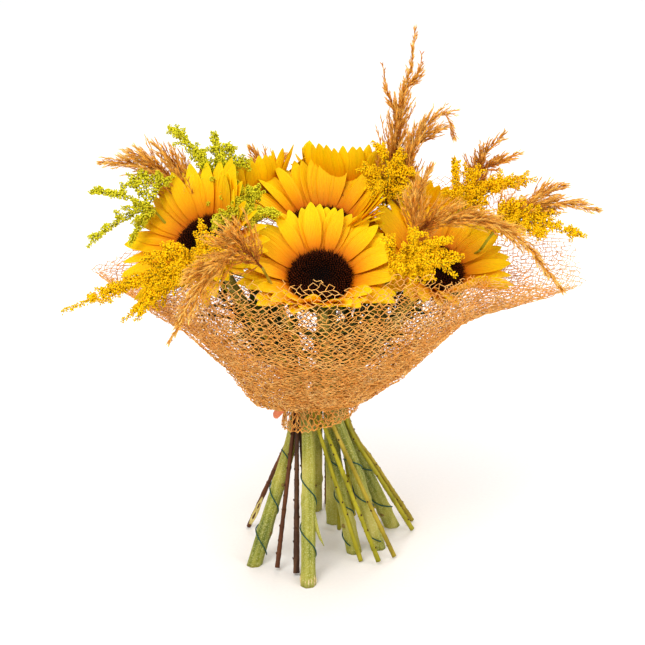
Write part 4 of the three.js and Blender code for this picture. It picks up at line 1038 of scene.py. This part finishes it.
def build_petals(index):
    head = head_frame(index)
    angle, radius, height = petal_tips(index)
    rng = np.random.default_rng(300 + index)
    n = len(angle)
    rise = np.arctan2(height - PETAL_ROOT_HEIGHT, radius - ROOT)
    length = np.hypot(height - PETAL_ROOT_HEIGHT, radius - ROOT)
    gap = np.roll(angle, -1) - angle
    gap[-1] += math.tau
    # Each petal keeps near its neighbours' rise, and none is much shorter than the rest.
    usual = np.median([np.roll(rise, k) for k in (-2, -1, 0, 1, 2)], axis=0)
    rise = np.clip(rise, usual - 0.16, usual + 0.12)
    length = np.maximum(length, np.percentile(length, 70) * rng.uniform(0.92, 1.02, n))
    b = Builder()
    for k in range(n):
        rise[k] = clear_rise(head, angle[k], rise[k], length[k])
        add_petal(b, head, angle[k], rise[k], length[k], rng.uniform(7.6, 9.2), rng)
        # Others stand between each pair, a little behind them.
        j, more = (k + 1) % n, max(1, round(math.degrees(gap[k]) / PETAL_SPACING) - 1)
        if index == LEANING_HEAD and more > MOST_FILLERS:
            continue
        for m in range(more):
            share = (m + 1) / (more + 1) + rng.uniform(-0.12, 0.12) / more
            between = angle[k] + gap[k] * share
            reach = (length[k] * (1 - share) + length[j] * share) * rng.uniform(0.94, 1.04)
            leant = rise[k] * (1 - share) + rise[j] * share + rng.uniform(-0.12, 0.03)
            leant = clear_rise(head, between, leant, reach)
            add_petal(b, head, between, leant, reach, rng.uniform(7.2, 8.8), rng, lift=-0.9)
    obj = b.finish(f"sunflower_{index + 1}_ray_petals", [MATERIALS["petal"]])
    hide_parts(f"sunflower_{index + 1}_petals")


def bud_shape(rings, sides, flare=0.0):
    """A small closed bud on its own axis, flared to points on the rings marked so."""
    points = []
    for z, radius, pointed in rings:
        for i in range(sides):
            angle = math.tau * i / sides
            swell = (1 + flare if i % 2 else 1 - flare) if pointed else 1
            points.append((math.cos(angle) * radius * swell, math.sin(angle) * radius * swell, z))
    points.append((0, 0, rings[-1][0] + 0.08))
    last = (len(rings) - 1) * sides
    tris = [(len(points) - 1, last + i, last + (i + 1) % sides) for i in range(sides)]
    base = [(0, i + 1, i) for i in range(1, sides - 1)]
    return np.array(points), [ring_quads(len(rings), sides), tris + base]


DISC_PROFILE = [(29.6, -0.06), (29.8, 0.6), (28.5, 1.6), (24.5, 3.2), (18, 3.6), (10.5, 2.6), (4, 2.0)]
FLORETS, BRISTLES = 520, 2000
GOLDEN_ANGLE = 2.39996
FLORET, FLORET_FACES = bud_shape([(0.0, 0.8, 0), (0.55, 0.75, 0), (0.85, 0.55, 1)], 6, 0.45)


def on_disc(head, radius, turn, leans, spread, rng):
    """Places on a disc, and directions there that lean outwards by a table of radius and lean."""
    height = np.interp(radius, [0, 10.5, 18, 24.5, 30], [1.8, 2.4, 3.4, 3.0, 1.0])
    at = head_point(head, radius, turn, height)
    outward = head_point(head, radius + 1, turn, height) - at
    lean = np.interp(radius, *leans)[:, None]
    direction = unit(head[1][None] + outward * lean + rng.normal(0, spread, at.shape))
    return at, direction, *crosswise(direction, rng)


def build_disc(index):
    head = head_frame(index)
    rng = np.random.default_rng(600 + index)
    b = Builder()
    add_turned(b, head, DISC_PROFILE, (-0.06, 1.9), 48, 0.2)
    k = np.arange(FLORETS)
    radius = 29.2 * np.sqrt((k + 0.5) / FLORETS)
    leans = [0, 15, 24, 30], [-0.35, 0.0, 0.35, 0.8]
    at, direction, x, y = on_disc(head, radius, k * GOLDEN_ANGLE, leans, 0.12, rng)
    column = (FLORETS, 1)
    size = np.interp(radius, [0, 12, 24, 30], [0.62, 0.8, 1.0, 1.05])[:, None] * rng.uniform(0.85, 1.1, column)
    tall = np.interp(radius, [0, 12, 22, 30], [1.6, 2.0, 2.9, 2.6])[:, None] * rng.uniform(0.75, 1.25, column)
    b.copies(FLORET, FLORET_FACES, at, x * size, y * size, direction * tall,
             tint=np.clip(radius / 42 + rng.uniform(-0.1, 0.2, FLORETS), 0, 1))
    # Fine bristles, longest at the rim, where they stand over the petals' roots.
    radius = 30.4 * rng.uniform(0.1, 1, BRISTLES) ** 0.5
    leans = [0, 15, 24, 30.4], [-0.3, 0.05, 0.5, 1.1]
    at, direction, x, y = on_disc(head, radius, rng.uniform(0, math.tau, BRISTLES), leans, 0.25, rng)
    tall = np.interp(radius, [0, 14, 24, 30.4], [2.4, 3.2, 4.6, 5.6])[:, None] * rng.uniform(0.6, 1.25, (BRISTLES, 1))
    b.copies(NEEDLE, NEEDLE_FACES, at, x * 0.62, y * 0.62, direction * tall,
             tint=np.clip(radius / 36 + rng.uniform(-0.2, 0.25, BRISTLES), 0, 1))
    obj = b.finish(f"sunflower_{index + 1}_disc_florets", [MATERIALS["disc"]], smooth=False)
    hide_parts(f"sunflower_{index + 1}_disc")


for number in range(len(HEADS)):
    build_petals(number)
    build_disc(number)

# ------------------------------------------------------------------ goldenrod


def along_path(path, share):
    """The place and the direction at a share of a path."""
    place = min(0.9999, max(0.0, share)) * (len(path) - 1)
    k = int(place)
    return path[k] + (path[k + 1] - path[k]) * (place - k), unit(path[k + 1] - path[k])


def plume_path(axis):
    """A plume's stalk, which starts just above its stem."""
    controls = [np.array(p, dtype=float) for p in axis]
    controls[0] = controls[0] + unit(controls[1] - controls[0]) * 1.2
    return smooth_path(controls, len(axis) * 4)


# Sprigs that hang in front of the discs of heads 3 and 4.
LOW_SPRIGS = {2: [(-96, -90, 330), (-84, -94, 344)], 7: [(108, -116, 334), (128, -106, 334), (90, -122, 334)]}
# How far flowers stand off a branch, and how far apart its side branches are, in a dense and an open spray.
DENSE_HABIT, OPEN_HABIT, OPEN_SPRAY = (4.8, 3.3), (3.4, 7.0), 1
FLOWERS_AROUND = 7

BUD, BUD_FACES = bud_shape([(0.0, 0.4, 0), (0.62, 1.0, 1)], 5)
BUD[-1, 2] = 1.0


def add_raceme(b, path, rng, reach, spacing, size):
    """Buds all round a thin branch, closest together on its upper side."""
    line = even_path(path, spacing)
    along, x, y = frames_along(line)
    k = np.repeat(np.arange(len(line)), FLOWERS_AROUND)
    share = np.linspace(0, 1, len(line))[k][:, None]
    one_each = share.shape
    out = around(x[k], y[k], rng.uniform(0, math.tau, one_each))
    out[:, 2] += 0.25
    out = unit(out)
    stand = reach * (1.05 - 0.6 * share) * rng.uniform(0.25, 1.0, one_each)
    at = line[k] + along[k] * rng.uniform(-spacing, spacing, one_each) * 0.5 + out * stand
    direction = unit(out + along[k] * 0.6 + rng.normal(0, 0.3, at.shape))
    side, other = crosswise(direction, rng)
    scale = size * rng.uniform(0.7, 1.15, one_each) * (1.05 - 0.35 * share)
    b.copies(BUD, BUD_FACES, at, side * scale * 0.52, other * scale * 0.52, direction * scale * 1.25,
             tint=rng.uniform(0, 1, len(k)))


def build_goldenrod(index):
    colour, axis, tips = GOLDENROD[index]
    rng = np.random.default_rng(700 + index)
    path = plume_path(axis)
    reach, apart = OPEN_HABIT if index == OPEN_SPRAY else DENSE_HABIT
    b = Builder()
    b.tube(path, np.linspace(1.5, 0.9, len(path)), 8, kind=1)
    count = len(tips)
    for k, tip in enumerate(tips + LOW_SPRIGS.get(index, [])):
        start, _ = along_path(path, 0.35 + 0.62 * ((k * 5) % count) / (count - 1))
        end = np.array(tip, dtype=float)
        branch = smooth_path([start, (start + end) / 2 + UP * 7, end], 16)
        b.tube(branch, np.linspace(0.7, 0.3, 17), 6, kind=1)
        add_raceme(b, branch[1:], rng, reach, 1.6, 2.0)
        # Short side branches make the spray feathery near its base.
        for _ in range(int(np.linalg.norm(end - start) / apart)):
            t = rng.uniform(0.0, 0.85)
            at, along = along_path(branch, t)
            sway = unit(along + rng.normal(0, 0.75, 3) + UP * 0.35)
            length = rng.uniform(11, 24) * (1.15 - 0.7 * t)
            twig = smooth_path([at, at + sway * length * 0.5 + UP * 1.5, at + sway * length], 6)
            b.tube(twig, np.linspace(0.4, 0.2, 7), 5, kind=1)
            add_raceme(b, twig[1:], rng, 3.4, 1.7, 1.9)
    obj = b.finish(f"goldenrod_{index + 1}_spray", [MATERIALS[colour], MATERIALS["thin"]])
    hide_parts(f"goldenrod_{index + 1}_plume")


for number in range(len(GOLDENROD)):
    build_goldenrod(number)

# ------------------------------------------------------------------ reeds

# Twig length at the foot of each reed's main and side stalks, how it shrinks upwards, and how far twigs lean.
REED_HABIT = {0: (50, 13, 1.2, 0.72), 2: (46, 34, 0.8, 0.85), 5: (40, 28, 0.85, 0.7), 6: (36, 34, 0.85, 0.6),
              7: (46, 34, 0.95, 0.8)}
USUAL_HABIT = (38, 26, 0.85, 0.65)
REED_STEP, SPIKELET_STEP, HAIRS_EACH = 3.0, 2.6, 3

SPINDLE, SPINDLE_FACES = bud_shape([(0.0, 0.25, 0), (0.15, 0.8, 0), (0.45, 1.0, 0), (0.8, 0.35, 0)], 4)


def reed_stalks(index):
    """The main stalk of a reed's plume and the side stalks that leave it."""
    axis, sides = REEDS[index]
    main = plume_path(axis)
    firsts = [main[np.argmin(np.linalg.norm(main - np.array(side[0]), axis=1))] for side in sides]
    return [main] + [smooth_path([first, *side[1:]], 12) for first, side in zip(firsts, sides)]


def add_twigs(b, path, habit, is_main, rng):
    """Twigs all along a stalk; gives the place, direction, length and tone of the spikelets on them."""
    main_reach, side_reach, shrink, widest = habit
    line = even_path(path, REED_STEP)
    n = len(line)
    spikelets = []
    for k in range(1, n):
        share = k / (n - 1)
        at, along = line[k], unit(line[min(k + 1, n - 1)] - line[max(k - 1, 0)])
        x, y = (v[0] for v in crosswise(along[None], rng))
        for _ in range(2 if share >= 0.6 else 4 if is_main else 3):
            out = around(x, y, rng.uniform(0, math.tau))
            lean = rng.uniform(0.2, widest) * (1.15 - 0.5 * share)
            reach = (main_reach if is_main else side_reach) * max(0.12, 1.1 - shrink * share)
            length = min(reach * rng.uniform(0.5, 1.1), 4 + REED_STEP * (n - 1 - k))
            way = unit(along * math.cos(lean) + out * math.sin(lean))
            bend = unit(way + along * 0.5 - UP * 0.08)
            half = at + way * length * 0.5
            twig = smooth_path([at, half, half + bend * length * 0.5], 5)
            b.tube(twig, np.linspace(0.32, 0.16, 6), 4, tint=0.3)
            for u in np.arange(0.1, 1.0, SPIKELET_STEP / length):
                size = rng.uniform(6.0, 9.5) * (1 - 0.35 * share)
                tone = min(1.0, 0.2 + 0.8 * u * (0.5 + 0.5 * share) + rng.uniform(-0.1, 0.2))
                spikelets.append((*along_path(twig, u), size, tone))
    return spikelets


def build_reed(index):
    rng = np.random.default_rng(800 + index)
    b = Builder()
    spikelets = []
    for s, path in enumerate(reed_stalks(index)):
        b.tube(path, np.linspace(0.9 if s else 1.3, 0.35, len(path)), 7, tint=0.35)
        spikelets += add_twigs(b, path, REED_HABIT.get(index, USUAL_HABIT), s == 0, rng)
    at, direction, length, tone = (np.array(column) for column in zip(*spikelets))
    direction = unit(direction + rng.normal(0, 0.20, at.shape))
    length = length[:, None]
    x, y = crosswise(direction, rng)
    b.copies(SPINDLE, SPINDLE_FACES, at, x * 0.55, y * 0.55, direction * length, along=tone,
             tint=rng.uniform(0.2, 1, len(at)))
    for _ in range(HAIRS_EACH):
        hair = unit(direction + rng.normal(0, 0.28, at.shape))
        x, y = crosswise(hair, rng)
        start = at + direction * length * rng.uniform(0.1, 0.5, length.shape)
        b.copies(NEEDLE, NEEDLE_FACES, start, x * 0.24, y * 0.24, hair * length * rng.uniform(0.8, 1.3, length.shape),
                 along=np.minimum(1, tone + 0.25), tint=rng.uniform(0.6, 1, len(at)))
    obj = b.finish(f"reed_{index + 1}_plume_spikelets", [MATERIALS["reed"]])
    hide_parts(f"reed_{index + 1}_plume")


for number in range(len(REEDS)):
    build_reed(number)

# ------------------------------------------------------------------ net wrap

PRISM = np.array([[1, 0, 0], [-0.5, 0.866, 0], [-0.5, -0.866, 0], [1, 0, 1], [-0.5, 0.866, 1], [-0.5, -0.866, 1]])
PRISM_FACES = [[[0, 2, 1], [3, 4, 5]], [[0, 1, 4, 3], [1, 2, 5, 4], [2, 0, 3, 5]]]
STRAND = 0.95
TORN_SHARE = 0.03
STRAND_LENGTHS = (0.3, 26)


def shown_below(degrees, row, top, seed, rng):
    """Which points of a layer are under its ragged upper edge, given as angles and rows."""
    limit = RIM_ROW if top is None else np.interp(np.abs(degrees), *top)
    wave = np.radians(degrees)
    ragged = 0.16 * np.sin(wave * 11 + seed + 2.2) + 0.12 * np.sin(wave * 29 + 2 * seed + 2.2) - 0.14
    front_most = np.interp(np.abs(degrees), [50, 75], [1, 0.2])
    return row <= limit + ragged * front_most + rng.normal(0, 0.03, len(row))


def net_knots(cell, inset, phase, seed, top, first_row, rng):
    """Rows of knots, zigzag, from the skirt to the rim: their places, which are shown, and each row's shares."""
    width, height = cell
    fine = np.linspace(-180, 180, 721)
    weight = np.concatenate([[0], np.cumsum(60 + rim_at(fine[:-1])[0])])
    weight /= weight[-1]
    row_fine = np.linspace(first_row, RIM_ROW, 500)
    slope = net_surface(np.full(500, 10.0), row_fine, 0, 0)
    run = np.concatenate([[0], np.cumsum(np.linalg.norm(np.diff(slope, axis=0), axis=1))])
    count = int(run[-1] / height)
    numbers = np.arange(-1, count + 2)
    row_values = np.interp(numbers * run[-1] / count, run, row_fine)
    points, shown, shares = [], [], []
    for j in range(count + 1):
        ring = net_surface(fine, np.full(fine.shape, row_values[j + 1]), inset, phase)
        length = np.linalg.norm(np.diff(ring[::4], axis=0), axis=1).sum()
        radius = np.hypot(ring[:, 0], ring[:, 1]).mean()
        # There is spare cloth where it is gathered, near the binding.
        spare = 1 + 0.5 * min(1, max(0, (110 - radius) / 70))
        n = 2 * max(12, int(length * spare / width))
        i = np.arange(n)
        u = ((i + rng.uniform(-0.36, 0.36, n)) / n + 0.5 * (j % 2) * 2 / n + rng.uniform(0, 1)) % 1.0
        degrees = np.interp(u, weight, fine)
        place = j + np.where(i % 2, 0.28, -0.28) + rng.uniform(-0.22, 0.22, n)
        row = np.interp(np.clip(place, 0, count), numbers, row_values)
        ring = net_surface(degrees, row, inset, phase)
        ring += unit(ring * (1, 1, 0) + (0, 0, -60)) * rng.normal(0, 0.6, n)[:, None]
        points.append(ring)
        shown.append(shown_below(degrees, row, top, seed, rng))
        shares.append(u)
    return np.vstack(points), np.concatenate(shown), shares


def net_edges(shares):
    """Strands along each row of knots, and from its upper knots to the nearest lower ones of the next row."""
    edges = []
    first = 0
    for j, u in enumerate(shares):
        n = len(u)
        i = np.arange(n)
        edges.append(np.stack([first + i, first + (i + 1) % n], axis=1))
        if j + 1 < len(shares):
            upper, lower = i[1::2], np.arange(0, len(shares[j + 1]), 2)
            gap = np.abs((u[upper][:, None] - shares[j + 1][lower][None] + 0.5) % 1.0 - 0.5)
            edges.append(np.stack([first + upper, first + n + lower[gap.argmin(axis=1)]], axis=1))
        first += n
    return np.concatenate(edges)


def build_net(name, cell, inset, phase, seed, top=None, first_row=0.0):
    """One layer of the net: a loose honeycomb of strands, its meshes alike from the binding to the rim."""
    rng = np.random.default_rng(seed)
    points, shown, shares = net_knots(cell, inset, phase, seed, top, first_row, rng)
    edges = net_edges(shares)
    edges = edges[shown[edges].all(axis=1) & (rng.uniform(0, 1, len(edges)) > TORN_SHARE)]
    start, end = points[edges[:, 0]], points[edges[:, 1]]
    length = np.linalg.norm(end - start, axis=1)
    good = (length > STRAND_LENGTHS[0]) & (length < STRAND_LENGTHS[1])
    start, end, length = start[good], end[good], length[good]
    direction = unit(end - start)
    side, other = crosswise(direction, rng)
    thick = STRAND * rng.uniform(0.75, 1.2, (len(start), 1)) / 2
    thick *= np.interp(start[:, 2:3], [190, 310], [1.12, 0.78])
    b = Builder()
    tint = np.clip(0.55 + rng.normal(0, 0.22, len(start)), 0, 1)
    reach = direction * (length + STRAND * 0.3)[:, None]
    b.copies(PRISM, PRISM_FACES, start - direction * STRAND * 0.15, side * thick, other * thick, reach, tint=tint)
    obj = b.finish(name, [MATERIALS["net"]], smooth=False)
    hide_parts("net_wrap")


# The upper edges of the two inner layers: angle from the front, and row.
LOW_FRONT = ([0, 25, 50, 75, 180], [9.0, 9.4, 9.9, 9.9, 9.6])
LOWER_STILL = ([0, 30, 60, 100, 180], [8.2, 8.7, 9.2, 8.8, 8.4])
build_net("net_outer_layer", (8.6, 4.7), 0.0, 0.0, 31)
build_net("net_middle_layer", (7.8, 4.4), 3.5, 1.9, 32, LOW_FRONT)
build_net("net_inner_layer", (7.4, 4.3), 8.0, 4.2, 33, LOWER_STILL, first_row=1.2)

# ------------------------------------------------------------------ ribbon


RIBBON_RADIUS = NECK_RADIUS + 1.45
RIBBON_MIDDLE = (RIBBON_BOTTOM + RIBBON_TOP) / 2
KNOT_ANGLE = math.radians(-38)


def add_band(b):
    """The band round the neck, creased and folded, closed from its outer face to its inner one."""
    sides = 120
    angle = np.linspace(0, math.tau, sides, endpoint=False)
    fold = 0.5 * np.sin(angle * 13) + 0.35 * np.sin(angle * 29 + 1)
    outer, inner = [], []
    for k, z in enumerate(np.linspace(RIBBON_BOTTOM, RIBBON_TOP, 9)):
        middle = RIBBON_RADIUS + fold * 0.4 + 0.35 * math.sin(k * 2.1)
        for rings, r in ((outer, middle + 0.25), (inner, middle - 0.25)):
            rings.append(np.stack([np.sin(angle) * r, -np.cos(angle) * r, z + 0.6 * np.sin(angle * 2)], axis=1))
    rings = outer + inner[::-1]
    b.add(np.vstack(rings), [ring_quads(len(rings), sides, loops=True)])


def build_ribbon():
    b = Builder()
    add_band(b)
    # The knot is at the left front, and the tail hangs from it.
    out = np.array([math.sin(KNOT_ANGLE), -math.cos(KNOT_ANGLE), 0])
    side = np.array([-math.cos(KNOT_ANGLE), -math.sin(KNOT_ANGLE), 0])
    knot = out * (RIBBON_RADIUS + 2.3) + UP * RIBBON_MIDDLE
    knot_path = smooth_path([knot + side * s for s in (-4.4, -2.6, 0, 3, 4.8)], 12)
    knot_radii = np.interp(np.linspace(0, 1, 13), [0, 0.3, 0.7, 1], [1.6, 2.9, 3.0, 1.6])
    b.tube(knot_path, knot_radii, 20, tint=0.6, ribs=6, rib_depth=0.10, round_ends=True)
    tail = [(2, 0, 0), (9, 3, 4), (18, 4, 12), (27, 3, 23)]
    line = smooth_path([knot + side * s + out * o - UP * drop for s, o, drop in tail], 18)
    along = unit(np.gradient(line, axis=0))
    across = unit(np.cross(along, out[None]))
    up = np.cross(across, along)
    # The tail is narrow where it leaves the knot, and its end is rounded.
    width = np.interp(np.arange(len(line)), [0, 6, 14, 17, 18], [2.6, 3.9, 4.4, 3.6, 1.6])[:, None]
    t = np.linspace(-1, 1, 7)
    curl = 0.8 * (t ** 2)[None] + 0.25 * np.cos(t * 9)[None]
    surface = line[:, None] + across[:, None] * (t * width)[..., None] - up[:, None] * curl[..., None]
    skin = up[:, None] * 0.2
    points = np.concatenate([(surface - skin).reshape(-1, 3), (surface + skin).reshape(-1, 3)])
    b.add(points, [block[:, ::-1] for block in sheet_faces(len(line), len(t))], tint=0.7)
    obj = b.finish("ribbon_tie", [MATERIALS["ribbon"]])
    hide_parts("ribbon")


build_ribbon()
